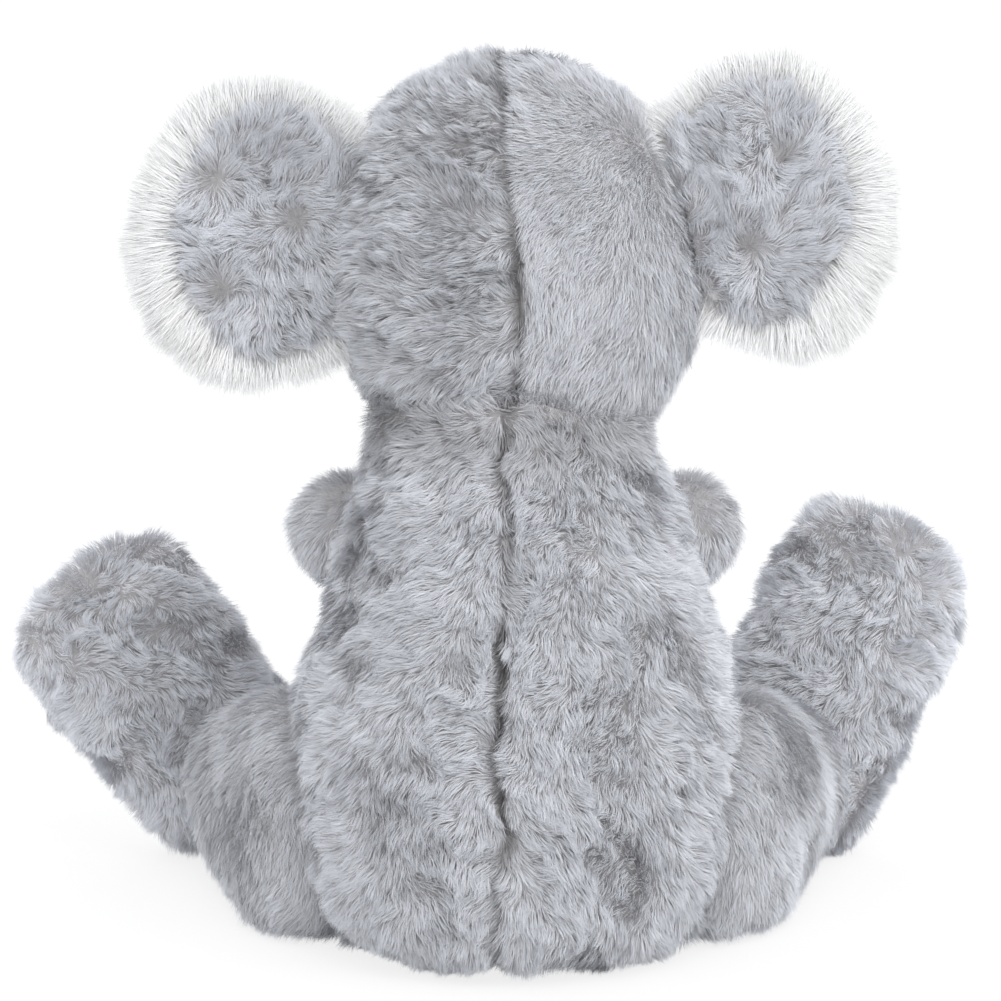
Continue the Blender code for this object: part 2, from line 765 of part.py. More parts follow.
def ankle_frame(side):
    """+Z up the foot to its toes, +Y forward out of its sole, for a left leg."""
    forward = LEG_LENGTH - LEG_BEHIND_HIP - ANKLE_FROM_END
    spot = hip_frame() @ Vector((forward, 0, LEG_STANDS))
    spot.z = ANKLE_HEIGHT[side]
    turn = Matrix.Rotation(FOOT_TILT[side], 4, "Y") @ Matrix.Rotation(FOOT_LEAN[side], 4, "X")
    return Matrix.Translation(spot) @ turn @ Matrix.Rotation(FOOT_YAW, 4, "Z")


def leg_form(side, inset, rings, sides):
    """A thigh, round about the hip, that tapers to the ankle, with the foot that stands up on it."""
    rows = []
    for along, wide, high in flowing(LEG_SHARES, rings):
        rows.append(
            (
                inset - LEG_BEHIND_HIP + along * (LEG_LENGTH - 2 * inset),
                wide * (LEG_HALF_WIDTH - inset),
                high * (LEG_HALF_HEIGHT - inset),
                LEG_STANDS,
                0,
            )
        )
    thigh = loft("thigh", rows, sides, hip_frame() @ ALONG_X)
    rows = []
    for along, wide, deep in flowing(FOOT_SHARES, rings):
        rows.append(
            (
                inset - FOOT_BEHIND_ANKLE + along * (FOOT_LENGTH - 2 * inset),
                wide * (FOOT_HALF_WIDTH - inset),
                deep * (FOOT_HALF_THICKNESS - inset),
                0,
                0,
            )
        )
    foot = loft("foot", rows, sides, ankle_frame(side), FOOT_SQUARENESS)
    return thigh, foot


def make_legs(fur, sole_cloth, fibre):
    flat = hip_frame()
    floor = facing((0, 0, FLOOR_CLEARANCE), (0, 0, 1))
    for side in SIDES:
        hollow = plus(*leg_form(side, COVER, INNER_RINGS, INNER_SIDES))
        hollow = less(hollow, block_below(floor, -COVER))
        hollow = plus(hollow, opening(flat, LEG_OPENING, LEG_STANDS))
        filling = plus(*leg_form(side, COVER + FIT, INNER_RINGS, INNER_SIDES))
        filling = less(filling, block_below(floor, -COVER - FIT))
        filling = plus(filling, opening(flat, LEG_OPENING, LEG_STANDS, FIT))
        filling = tidied(less(filling, block_below(flat, -FIT / 2)))

        thigh, foot = leg_form(side, 0, OUTER_RINGS, OUTER_SIDES)
        spare, around_foot = leg_form(side, -FIT, OUTER_RINGS, OUTER_SIDES)
        remove(spare)
        thigh = less(less(thigh, block_below(flat, -FIT / 2)), block_below(floor))
        thigh = tidied(less(less(thigh, around_foot), copy_of(hollow)))
        foot = less(less(foot, block_below(floor)), hollow)

        ankle = ankle_frame(side)
        ahead = (ankle @ Vector((0, -1, 0)) - ankle.to_translation()).normalized()
        face = ankle.to_translation() + ahead * (FOOT_HALF_THICKNESS - SOLE_DEPTH)
        sole = tidied(less(copy_of(foot), block_below(facing(face, ahead), -FIT / 2)))
        foot = tidied(less(foot, block_below(facing(face, -ahead), -FIT / 2)))
        finish(turned_over(thigh, side), "leg_" + side, fur)
        finish(turned_over(foot, side), "foot_" + side, fur)
        finish(turned_over(sole, side), "sole_" + side, sole_cloth)
        finish(turned_over(filling, side), "leg_stuffing_" + side, fibre)


def make_koala():
    for obj in list(bpy.data.objects):
        bpy.data.objects.remove(obj)
    grey_fur = make_material("grey_fur", (0.42, 0.43, 0.46), 0.9)
    pale_fur = make_material("pale_fur", (0.80, 0.80, 0.80), 0.9)
    sole_cloth = make_material("sole_cloth", (0.30, 0.30, 0.32), 0.9)
    fibre = make_material("polyester_fibre", (0.85, 0.85, 0.83), 0.9)
    pellets = make_material("bean_pouch_cloth", (0.75, 0.74, 0.70), 0.8)
    black = make_material("black_plastic", (0.01, 0.01, 0.01), 0.2)
    clear = make_material("washer_plastic", (0.70, 0.70, 0.68), 0.4)
    thread = make_material("thread", (0.02, 0.02, 0.02), 0.7)
    make_body(grey_fur, pale_fur, grey_fur, fibre, pellets)
    make_head(grey_fur, pale_fur, fibre, black, clear)
    make_mouth(thread)
    make_ears(grey_fur, pale_fur)
    make_arms(grey_fur, fibre)
    make_legs(grey_fur, sole_cloth, fibre)


make_koala()
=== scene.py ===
import json
import math

import bpy
import numpy as np
from mathutils import Matrix, Vector
from mathutils.bvhtree import BVHTree
from mathutils.kdtree import KDTree


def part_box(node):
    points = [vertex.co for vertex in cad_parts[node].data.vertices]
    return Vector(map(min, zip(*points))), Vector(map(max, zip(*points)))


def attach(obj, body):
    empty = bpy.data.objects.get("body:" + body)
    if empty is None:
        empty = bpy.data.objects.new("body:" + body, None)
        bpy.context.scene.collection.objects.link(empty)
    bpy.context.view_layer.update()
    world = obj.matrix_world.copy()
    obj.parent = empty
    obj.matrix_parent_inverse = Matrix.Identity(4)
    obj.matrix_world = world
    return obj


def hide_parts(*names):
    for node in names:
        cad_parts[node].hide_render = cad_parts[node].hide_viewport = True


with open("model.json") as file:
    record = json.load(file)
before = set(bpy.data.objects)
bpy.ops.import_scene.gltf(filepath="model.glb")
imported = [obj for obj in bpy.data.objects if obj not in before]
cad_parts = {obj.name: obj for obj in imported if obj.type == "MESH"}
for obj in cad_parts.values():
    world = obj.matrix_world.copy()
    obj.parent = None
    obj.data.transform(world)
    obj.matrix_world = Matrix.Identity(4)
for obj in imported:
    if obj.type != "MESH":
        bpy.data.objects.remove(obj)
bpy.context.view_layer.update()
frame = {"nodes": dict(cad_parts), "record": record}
scene = bpy.context.scene
scene.view_settings.view_transform = "Standard"

# The studio. The toy sits on a white sweep and is seen from behind, a little from above,
# through a long lens. One big soft lamp hangs over the camera, one stands at its right, and
# one lights the toy's front.
AIM = Vector((0.0048, 0.0, 0.147))
VIEW_RISE = math.radians(12)
VIEW_DISTANCE = 2.0
VIEW_WIDTH = 0.3283
SENSOR_WIDTH = 36
LAMPS = {
    "lamp_high": ((-0.2, 1.3, 1.9), 1.3, 16),
    "lamp_right": ((-1.5, 1.1, 1.5), 1.1, 12),
    "lamp_front": ((0.6, -1.8, 1.3), 1.4, 12),
}  # each one's place, its edge and its power in watts
ROOM_COLOUR = (0.98, 0.99, 1.0)
ROOM_LIGHT = 1.08
FLOOR_SIZE = 8
FLOOR_GREY = 0.86
FLOOR_GLOW = 0.82  # how much of the floor is plain white to the camera


def new_material(name):
    """A fresh material: itself, its nodes, its links and its shader."""
    material = bpy.data.materials.new(name)
    material.use_nodes = True
    nodes, links = material.node_tree.nodes, material.node_tree.links
    return material, nodes, links, nodes["Principled BSDF"]


camera_data = bpy.data.cameras.new("camera")
camera_data.sensor_width = SENSOR_WIDTH
camera_data.lens = SENSOR_WIDTH * VIEW_DISTANCE / VIEW_WIDTH
camera = bpy.data.objects.new("camera", camera_data)
scene.collection.objects.link(camera)
toward_camera = Vector((0, math.cos(VIEW_RISE), math.sin(VIEW_RISE)))
camera.location = AIM + VIEW_DISTANCE * toward_camera
camera.rotation_euler = toward_camera.to_track_quat("Z", "Y").to_euler()
scene.camera = camera

for name, (place, size, power) in LAMPS.items():
    lamp = bpy.data.lights.new(name, "AREA")
    lamp.size = size
    lamp.energy = power
    holder = bpy.data.objects.new(name, lamp)
    scene.collection.objects.link(holder)
    holder.location = place
    holder.rotation_euler = (Vector(place) - AIM).to_track_quat("Z", "Y").to_euler()

# The camera sees pure white past the floor, and the toy is lit by the room's own tone.
world = bpy.data.worlds.new("studio")
scene.world = world
world.use_nodes = True
nodes, links = world.node_tree.nodes, world.node_tree.links
room = nodes["Background"]
room.inputs["Color"].default_value = (*ROOM_COLOUR, 1)
room.inputs["Strength"].default_value = ROOM_LIGHT
white = nodes.new("ShaderNodeBackground")
white.inputs["Color"].default_value = (1, 1, 1, 1)
seen = nodes.new("ShaderNodeLightPath")
either = nodes.new("ShaderNodeMixShader")
links.new(seen.outputs["Is Camera Ray"], either.inputs["Fac"])
links.new(room.outputs["Background"], either.inputs[1])
links.new(white.outputs["Background"], either.inputs[2])
links.new(either.outputs["Shader"], nodes["World Output"].inputs["Surface"])

bpy.ops.mesh.primitive_plane_add(size=FLOOR_SIZE, location=(0, 0, 0))
floor = bpy.context.object
floor.name = "floor"
sweep, nodes, links, paper = new_material("white_sweep")
paper.inputs["Base Color"].default_value = (FLOOR_GREY, FLOOR_GREY, FLOOR_GREY, 1)
paper.inputs["Roughness"].default_value = 0.9
glow = nodes.new("ShaderNodeEmission")
glow.inputs["Strength"].default_value = 1.0
seen = nodes.new("ShaderNodeLightPath")
share = nodes.new("ShaderNodeMath")
share.operation = "MULTIPLY"
share.inputs[1].default_value = FLOOR_GLOW
either = nodes.new("ShaderNodeMixShader")
links.new(seen.outputs["Is Camera Ray"], share.inputs[0])
links.new(share.outputs["Value"], either.inputs["Fac"])
links.new(paper.outputs["BSDF"], either.inputs[1])
links.new(glow.outputs["Emission"], either.inputs[2])
links.new(either.outputs["Shader"], nodes["Material Output"].inputs["Surface"])
floor.data.materials.append(sweep)

# The filling. White polyester fibre is packed into every sewn cover, and a cotton pouch of
# plastic pellets weighs the seat down. It is what gives each cover its round, uneven form.
GRAIN = 0.003  # edge of a form's facets
SEAM_GAP = 0.0005  # more than the solids leave between two covers
WELD = SEAM_GAP / 10  # corners nearer to each other than this become one
CUT_GAP = 2 * SEAM_GAP  # solids nearer to each other than this share a cut
PILE_DEPTH = 0.0052  # from the pile's mean surface in to the cloth
EAR_DEPTH = PILE_DEPTH / 2
HELD_DEPTH = 3 * PILE_DEPTH  # how far a held plane reaches into a form
FILLING_CLEAR = 0.0018  # room for the cloth outside the filling
BODY_ROUNDING = 8  # passes that smooth a form
HEAD_ROUNDING = 12
EAR_ROUNDING = 4
HILLS = {
    "body": (0.05, 0.0014), "head": (0.05, 0.0010), "thigh": (0.04, 0.0010), "foot": (0.03, 0.0018),
}  # how wide and how high the filling's soft hills are
WAVE_PITCHES = (0.6, 1.6)  # the coarsest and the finest wave, in waves to a size
WAVE_LIMIT = 1.5
TINY = 1e-9
FIBRE_WHITE = (0.83, 0.83, 0.81)
FIBRE_SHADE = (0.66, 0.66, 0.65)
COTTON = (0.74, 0.72, 0.66)
COTTON_SHADE = (0.55, 0.53, 0.48)


def unit(vectors):
    return vectors / np.maximum(np.linalg.norm(vectors, axis=-1, keepdims=True), TINY)


def waves(points, size, seed, count=9):
    """A value that wanders smoothly over the points, mostly from -1 to 1."""
    draw = np.random.default_rng(seed)
    ways = unit(draw.normal(size=(count, 3))) * draw.uniform(*WAVE_PITCHES, (count, 1))
    starts = draw.uniform(0, 2 * math.pi, count)
    total = np.sin(points @ ways.T * (2 * math.pi / size) + starts).sum(axis=1)
    return np.clip(total / math.sqrt(count), -WAVE_LIMIT, WAVE_LIMIT)


def tree_of(name):
    """One of the frame's solids, ready to find the nearest point on it."""
    return BVHTree.FromObject(frame["nodes"][name], bpy.context.evaluated_depsgraph_get())


def grown_together(names, rounding, wrapped):
    """Evenly faceted shells round some of the frame's solids together, the widest one first."""
    bpy.ops.object.select_all(action="DESELECT")
    for name in names:
        copy = bpy.data.objects.new("form", frame["nodes"][name].data.copy())
        scene.collection.objects.link(copy)
        copy.select_set(True)
        bpy.context.view_layer.objects.active = copy
    if len(names) > 1:
        bpy.ops.object.join()
    form = bpy.context.view_layer.objects.active
    bpy.ops.object.mode_set(mode="EDIT")
    bpy.ops.mesh.select_all(action="SELECT")
    bpy.ops.mesh.remove_doubles(threshold=WELD)
    if wrapped:
        bpy.ops.mesh.convex_hull()
    bpy.ops.object.mode_set(mode="OBJECT")
    close = form.modifiers.new("close", "DISPLACE")
    close.mid_level = 0
    close.strength = SEAM_GAP
    even = form.modifiers.new("even", "REMESH")
    even.mode = "VOXEL"
    even.voxel_size = GRAIN
    soften = form.modifiers.new("soften", "SMOOTH")
    soften.iterations = rounding
    for modifier in ("close", "even", "soften"):
        bpy.ops.object.modifier_apply(modifier=modifier)
    bpy.ops.object.mode_set(mode="EDIT")
    bpy.ops.mesh.select_all(action="SELECT")
    bpy.ops.mesh.separate(type="LOOSE")
    bpy.ops.object.mode_set(mode="OBJECT")
    shells = list(bpy.context.selected_objects)
    return sorted(shells, key=lambda shell: len(shell.data.vertices), reverse=True)


def stuffed_form(names, inset, rounding, wrapped=False, held=None):
    """The filled form that some solids of the frame make together, in from the pile's surface.

    Gives its points, normals and faces, and each face's nearest solid. A held plane, given as a
    point and its normal, keeps the form's flat end where it is.
    """
    shells = grown_together(names, rounding, wrapped)
    mesh = shells[0].data
    points = np.empty(len(mesh.vertices) * 3)
    mesh.vertices.foreach_get("co", points)
    points = points.reshape(-1, 3)
    normals = np.array([tuple(vertex.normal) for vertex in mesh.vertices])
    faces = np.array([tuple(face.vertices) for face in mesh.polygons])
    cover = np.zeros(len(faces), int)
    if len(names) > 1:
        trees = [tree_of(name) for name in names]
        for i, middle in enumerate(points[faces].mean(axis=1)):
            away = [tree.find_nearest(Vector(middle))[3] for tree in trees]
            cover[i] = int(np.argmin(away))
    for shell in shells:
        bpy.data.objects.remove(shell)
    step = -(inset + SEAM_GAP) * normals
    if held:
        spot, way = np.array(held[0]), np.array(held[1])
        near = np.abs((points - spot) @ way) < HELD_DEPTH
        step[near] -= ((step[near] @ way)[:, None]) * way
    return {
        "points": points + step, "surface": points, "normals": normals, "faces": faces,
        "cover": cover, "names": names,
    }


def lumps(form, kind, seed):
    """Gives a form the soft hills of its filling."""
    size, height = HILLS[kind]
    form["points"] += form["normals"] * (height * waves(form["points"], size, seed))[:, None]


def let_out(form, name):
    """Lets a form out wherever its filling would come through."""
    tree = tree_of(name)
    for i, point in enumerate(form["points"]):
        spot, normal, _, _ = tree.find_nearest(Vector(point))
        if (Vector(point) - spot).dot(normal) < FILLING_CLEAR:
            form["points"][i] = spot + normal * FILLING_CLEAR


def shared_plane(one, other):
    """A point and the normal of the cut where two solids meet."""
    tree = tree_of(other)
    points = [vertex.co for vertex in frame["nodes"][one].data.vertices]
    cut = np.array([tuple(point) for point in points if tree.find_nearest(point)[3] < CUT_GAP])
    middle = cut.mean(axis=0)
    return middle, np.linalg.svd(cut - middle)[2][2]


joints = {joint["name"]: joint for joint in frame["record"]["behaviour"]["joints"]}
at_neck = (joints["head_turn"]["pos_m"], unit(np.array(joints["head_turn"]["axis"])))
body = stuffed_form(
    ["back_panel_left", "back_panel_right", "belly_panel", "seat_panel", "body_stuffing",
     "bean_pouch"],
    PILE_DEPTH, BODY_ROUNDING, held=at_neck,
)
lumps(body, "body", seed=11)
head = stuffed_form(
    ["head_panel_left", "head_panel_right", "muzzle_panel", "head_stuffing"],
    PILE_DEPTH, HEAD_ROUNDING, held=at_neck,
)
lumps(head, "head", seed=41)
thighs, feet, arms, ears = {}, {}, {}, {}
for side in ("left", "right"):
    at_ankle = shared_plane("leg_" + side, "foot_" + side)
    leg_filling = "leg_stuffing_" + side
    thighs[side] = stuffed_form(
        ["leg_" + side], PILE_DEPTH, BODY_ROUNDING, wrapped=True, held=at_ankle
    )
    lumps(thighs[side], "thigh", seed=21)
    let_out(thighs[side], leg_filling)
    feet[side] = stuffed_form(
        ["foot_" + side, "sole_" + side], PILE_DEPTH, BODY_ROUNDING, wrapped=True, held=at_ankle
    )
    lumps(feet[side], "foot", seed=31)
    let_out(feet[side], leg_filling)
    arm_filling = "arm_stuffing_" + side
    arms[side] = stuffed_form(["arm_" + side, arm_filling], PILE_DEPTH, BODY_ROUNDING)
    let_out(arms[side], arm_filling)
    ears[side] = stuffed_form(
        ["ear_back_" + side, "ear_lining_" + side], EAR_DEPTH, EAR_ROUNDING
    )


def grained(nodes, links, shader, pattern, tones, strength, depth):
    """Colours a shader from dark to light by a pattern, which also raises its grain."""
    tone = nodes.new("ShaderNodeMix")
    tone.data_type = "RGBA"
    for label, colour in zip(("A", "B"), tones):
        tone.inputs[label].default_value = (*colour, 1)
    grain = nodes.new("ShaderNodeBump")
    grain.inputs["Strength"].default_value = strength
    grain.inputs["Distance"].default_value = depth
    links.new(pattern, tone.inputs["Factor"])
    links.new(pattern, grain.inputs["Height"])
    links.new(tone.outputs["Result"], shader.inputs["Base Color"])
    links.new(grain.outputs["Normal"], shader.inputs["Normal"])


filling, nodes, links, shader = new_material("polyester_fibre")
place = nodes.new("ShaderNodeTexCoord")
clumps = nodes.new("ShaderNodeTexNoise")
clumps.inputs["Scale"].default_value = 180
clumps.inputs["Detail"].default_value = 8
clumps.inputs["Distortion"].default_value = 1.5
links.new(place.outputs["Object"], clumps.inputs["Vector"])
tones = (FIBRE_SHADE, FIBRE_WHITE)
grained(nodes, links, shader, clumps.outputs["Fac"], tones, strength=0.6, depth=0.001)
shader.inputs["Roughness"].default_value = 0.9
stuffed = ["body_stuffing", "head_stuffing"]
for side in ("left", "right"):
    stuffed += ["arm_stuffing_" + side, "leg_stuffing_" + side]
for name in stuffed:
    frame["nodes"][name].material_slots[0].material = filling

cotton, nodes, links, shader = new_material("pouch_cotton")
place = nodes.new("ShaderNodeTexCoord")
threads = []
for way in ("X", "Y"):
    wave = nodes.new("ShaderNodeTexWave")
    wave.bands_direction = way
    wave.inputs["Scale"].default_value = 320
    wave.inputs["Distortion"].default_value = 0.6
    links.new(place.outputs["Object"], wave.inputs["Vector"])
    threads.append(wave)
weave = nodes.new("ShaderNodeMath")
weave.operation = "MAXIMUM"
links.new(threads[0].outputs["Fac"], weave.inputs[0])
links.new(threads[1].outputs["Fac"], weave.inputs[1])
tones = (COTTON_SHADE, COTTON)
grained(nodes, links, shader, weave.outputs["Value"], tones, strength=0.4, depth=0.0003)
shader.inputs["Roughness"].default_value = 0.85
frame["nodes"]["bean_pouch"].material_slots[0].material = cotton

# The body's covers. Two back panels meet in a seam down the spine, and an oval belly panel and a
# round seat panel close the front and the bottom. All are knitted cloth with acrylic pile on it:
# silver grey fibres with dull brown roots, brushed down so that they close over the roots.
BACKING = 0.0011  # the cloth's thickness under the pile
ROOT_DEPTH = 0.0006  # how deep a fibre starts in it
PRESSED = 0.0002  # pile lies flat on the floor at this height
HIDDEN_DEPTH = 0.009  # deeper than this under another cover, pile is pressed flat
FULLNESS = 1.0

# How a fibre grows. It bends on its way up, and each differs a little from the next one.
SQUARE_METRE = 1e6  # in square millimetres, which density counts in
FIBRE_HEIGHTS = (0, 0.5, 0.5, 1.0)  # of a fibre's root, its two middle points and its tip
LOWER_BEND = 0.65  # how far its lower half leans, of its mean lean
UPPER_BEND = 1.2
SWIRL_SIZE = 0.045
RIPPLE_SIZE = 0.013
WAY_SPREAD = 16  # degrees, fibre to fibre
LEAN_SIZE = 0.03
LEAN_FINE_SIZE = 0.010
LEAN_FINE = 0.6  # how strong the finer waves in the lean are
LEAST_MEAN_LEAN = 18
LEAN_SPREAD = 9  # fibre to fibre
LEAST_LEAN = 8
MOST_LEAN = 80
LENGTH_SIZE = 0.014
LENGTH_WAVE = 0.10
SHORTEST = 0.001
LOOSE_SPREAD = 0.21  # how far a long loose fibre strays from the nap's way, as a slope
LOOSE_RISE = 0.5  # how far its lower half turns to the surface's normal
PULLS = (0.3, 1.2)  # the least and the most that a fibre joins its tuft
MIDDLE_PULL = 0.25
TWIST = 30  # degrees either way that a fibre's flat side turns
WIDTHS = (0.7, 1.3)  # the least and the most, of the mean width
OWN_SHADE = 0.6  # how far a fibre's shade strays from its tuft's
# Painted shade: pile and cloth are darkened by this much where the pile parts in the seams, the
# neck's fold and the ears' whorls
SEAM_PAINTED_SHADE = 9  # how much darker than the rest the pile in a seam is

# A fibre's two triangles, and a facet's corners, in their own cell of the map
BLADE_CELL = np.array([(0.5, 0.1), (0.8, 0.5), (0.2, 0.5), (0.2, 0.5), (0.8, 0.5), (0.5, 0.9)])
FACET_CELL = np.array([(0.1, 0.1), (0.9, 0.1), (0.9, 0.9), (0.1, 0.9)])

# The spine's seam, and the fold between head and body, where painted shade darkens the pile
SPINE = 0.004  # how far from the middle it runs, towards the koala's left
SPINE_WANDER = 0.0015
SPINE_WANDER_SIZE = 0.04
SPINE_DEPTH = 0.0032
SPINE_WIDTH = 0.0023
# The dark line where the pile parts along the spine is painted shade, and the pile there is shorter
# too
SPINE_PARTING = 0.0014  # width of the dark line where the pile parts
SPINE_TRIM = 0.3
SPINE_TURN = 0.5  # how far the nap beside it turns away
SPINE_TURN_WIDTH = 0.005
SPINE_HEIGHTS = (0.0, 0.045, 0.055, 0.112, 0.122, 0.138, 0.146, 0.178)
SPINE_STRENGTHS = (0.35, 0.40, 1.0, 1.0, 0.3, 0.3, 0.75, 0.7)
# Painted shade in the fold between head and body: its height, its spread and its strength
NECK = 0.176
NECK_SPREAD = 0.008
NECK_PAINTED_SHADE = 0.35

GREY_ROOT = (0.50, 0.485, 0.49)
GREY_MIDDLE = (0.60, 0.605, 0.635)
GREY_TIP = (0.70, 0.72, 0.765)
WHITE_ROOT = (0.70, 0.695, 0.695)
WHITE_MIDDLE = (0.80, 0.80, 0.80)
WHITE_TIP = (0.93, 0.93, 0.93)
PILE_MIDDLE = 0.45  # where along a fibre its middle colour is

BACK_NAPS = {"left": (0.45, 0, -1), "right": (0.25, 0, -1)}
BACK_PILE = {"density": 4.2, "lean": 46, "swirl": 50, "ripple": 38, "tuft": 0.0026, "pull": 0.5,
             "speckle": 0.8}
COVERED_PILE = {"length": 0.005, "lean": 74, "spread": 4}  # pressed flat under another cover
SEAT_PILE = {"density": 1.2, "length": 0.006, "lean": 78, "spread": 2}


def turned(vectors, axes, angles):
    """Each vector turned about its own axis."""
    cosines = np.cos(angles)[:, None]
    sines = np.sin(angles)[:, None]
    along = (axes * vectors).sum(axis=1, keepdims=True)
    return vectors * cosines + np.cross(axes, vectors) * sines + axes * along * (1 - cosines)


def bell(distances, width):
    """One at no distance, falling smoothly to nothing at about twice the width."""
    return np.exp(-((distances / width) ** 2))


def crease(form, strength, depth):
    """Draws a form in along a seam, by how strong the seam is at each point."""
    form["points"] -= form["normals"] * (depth * strength)[:, None]


def of_cover(form, *names):
    """Which faces of a form belong to the named covers."""
    return np.isin(form["cover"], [form["names"].index(name) for name in names])


def face_middles(form):
    return form["points"][form["faces"]].mean(axis=1)


def exposed(form, chosen, others):
    """The chosen faces, less those that lie deep under another form's pile."""
    keep = chosen.copy()
    middles = face_middles(form)
    for other in others:
        tree = BVHTree.FromPolygons(other["surface"].tolist(), other["faces"].tolist())
        for i in np.nonzero(keep)[0]:
            spot, normal, _, _ = tree.find_nearest(Vector(middles[i]))
            if (Vector(middles[i]) - spot).dot(normal) < -HIDDEN_DEPTH:
                keep[i] = False
    return keep


def scattered(form, chosen, density, draw):
    """Spots on the chosen faces, evenly by area: their places, their normals and the area."""
    corners = form["faces"][chosen]
    a, b, c, d = (form["points"][corners[:, k]] for k in range(4))
    starts = np.concatenate([a, a])
    first, second = np.concatenate([b, c]), np.concatenate([c, d])
    ids = np.concatenate([corners[:, [0, 1, 2]], corners[:, [0, 2, 3]]])
    areas = np.linalg.norm(np.cross(first - starts, second - starts), axis=1) / 2
    count = int(areas.sum() * SQUARE_METRE * density * FULLNESS)
    picked = draw.choice(len(areas), count, p=areas / areas.sum())
    u, v = draw.random(count), draw.random(count)
    over = u + v > 1
    u[over], v[over] = 1 - u[over], 1 - v[over]
    weights = np.stack([1 - u - v, u, v], axis=1)[:, :, None]
    spots = (form["points"][ids[picked]] * weights).sum(axis=1)
    normals = unit((form["normals"][ids[picked]] * weights).sum(axis=1))
    return spots, normals, areas.sum()


def leaning(roots, normals, way, lean, swirl, ripple, spread, upright, seed, draw):
    """The ways of the lower and the upper half of fibres that lean along a brushed nap."""
    way = unit(way - normals * (way * normals).sum(axis=1, keepdims=True))
    wander = swirl * waves(roots, SWIRL_SIZE, seed + 1)
    wander = wander + ripple * waves(roots, RIPPLE_SIZE, seed + 2)
    way = turned(way, normals, np.radians(wander + draw.normal(0, WAY_SPREAD, len(roots))))
    tilt = lean + spread * waves(roots, LEAN_SIZE, seed + 3)
    tilt = tilt + LEAN_FINE * spread * waves(roots, LEAN_FINE_SIZE, seed + 4)
    if upright is not None:
        tilt *= 1 - upright(roots)
    tilt = np.maximum(tilt, LEAST_MEAN_LEAN) + draw.normal(0, LEAN_SPREAD, len(roots))
    tilt = np.radians(np.clip(tilt, LEAST_LEAN, MOST_LEAN))[:, None]
    low = normals * np.cos(LOWER_BEND * tilt) + way * np.sin(LOWER_BEND * tilt)
    high = normals * np.cos(UPPER_BEND * tilt) + way * np.sin(UPPER_BEND * tilt)
    return low, high


def tuft_leaders(roots, area, tuft, draw):
    """For each fibre, which one leads its tuft."""
    tufts = max(int(area / tuft**2), 1)
    leaders = draw.choice(len(roots), min(tufts, len(roots)), replace=False)
    tree = KDTree(len(leaders))
    for i, spot in enumerate(roots[leaders]):
        tree.insert(spot, i)
    tree.balance()
    return leaders[np.array([tree.find(root)[1] for root in roots])]


def fibres(form, chosen, nap, seed, density=3.0, length=0.0080, lean=50, swirl=40, ripple=26,
           spread=6, tuft=0.0030, pull=0.42, width=0.00021, loose=0.12, trim=None, deep=None,
           shade=0.0, speckle=0.5, upright=None):
    """Grows pile on the chosen faces: for each fibre four points, its shade and its heights.

    density is in fibres to a square millimetre. nap gives the way that the pile is brushed at
    some points. lean is its angle from upright, which wanders by the spread, and swirl and ripple
    are how far its way wanders, in degrees. Without a lean, fibres point the nap's way, whatever
    the surface does, with a flat side to the back. Fibres gather towards the tips of their tufts,
    by the pull, and their lengths differ by the share loose. trim scales the length from point to
    point, deep says where the pile parts in a seam, a fold or a whorl: there fibres take the root
    colour all along and are darkened with painted shade. upright says where they stand. shade
    makes all of them lighter, and speckle is how far the tufts differ.
    """
    if not chosen.any():
        return np.empty((0, 4, 3)), np.empty((0, 4)), np.empty((0, 4))
    draw = np.random.default_rng(seed)
    roots, normals, area = scattered(form, chosen, density, draw)
    count = len(roots)
    if lean is None:
        high = unit(unit(nap(roots)) + draw.normal(0, LOOSE_SPREAD, (count, 3)))
        low = unit(high + LOOSE_RISE * normals)
    else:
        low, high = leaning(
            roots, normals, nap(roots), lean, swirl, ripple, spread, upright, seed, draw
        )
    reach = 1 + LENGTH_WAVE * waves(roots, LENGTH_SIZE, seed + 5) + draw.normal(0, loose, count)
    reach = length * reach
    if trim is not None:
        reach = reach * trim(roots)
    reach = np.maximum(reach, SHORTEST)[:, None]
    heights = np.tile(FIBRE_HEIGHTS, (count, 1))
    # Where the pile parts, a fibre takes the root colour all along and is darkened further, as
    # painted shade
    parting_shade = np.zeros(count)
    if deep is not None:
        parting_shade = deep(roots)
        heights *= 1 - parting_shade[:, None]
    middles = roots + low * reach / 2
    tips = middles + high * reach / 2

    mine = tuft_leaders(roots, area, tuft, draw)
    drawn = (pull * draw.uniform(*PULLS, count))[:, None]
    tips = tips + drawn * (tips[mine] - tips)
    middles = middles + MIDDLE_PULL * drawn * (middles[mine] - middles)

    along = unit(tips - roots)
    if lean is None:
        across = unit(np.cross(along, (0, 1, 0)))
    else:
        across = unit(np.cross(along, normals))
    across = turned(across, along, np.radians(draw.uniform(-TWIST, TWIST, count)))
    half = (width / 2 * draw.uniform(*WIDTHS, count))[:, None] * across
    roots = roots - normals * ROOT_DEPTH
    spots = np.stack([roots, middles - half, middles + half, tips], axis=1)
    spots[:, :, 2] = np.maximum(spots[:, :, 2], PRESSED)
    # The fibre's own shade, less the painted shade where the pile parts
    own = shade + draw.normal(0, OWN_SHADE, count) - SEAM_PAINTED_SHADE * parting_shade
    shared = draw.normal(0, speckle, count)[mine]
    return spots, np.repeat((own + shared)[:, None], 4, axis=1), heights


def backing(form, chosen):
    """The chosen faces as a closed sheet of cloth: its points and its four-sided faces."""
    corners = form["faces"][chosen]
    used, flat = np.unique(corners, return_inverse=True)
    flat = flat.reshape(-1, 4)
    outer = form["points"][used]
    inner = outer - BACKING * form["normals"][used]
    edges = np.concatenate([flat[:, [k, (k + 1) % 4]] for k in range(4)])
    ordered = np.sort(edges, axis=1)
    _, where, times = np.unique(ordered, axis=0, return_index=True, return_counts=True)
    rim = edges[where[times == 1]]
    under = len(outer)
    walls = np.stack([rim[:, 1], rim[:, 0], rim[:, 0] + under, rim[:, 1] + under], axis=1)
    quads = np.concatenate([flat, flat[:, ::-1] + under, walls])
    return np.concatenate([outer, inner]), quads


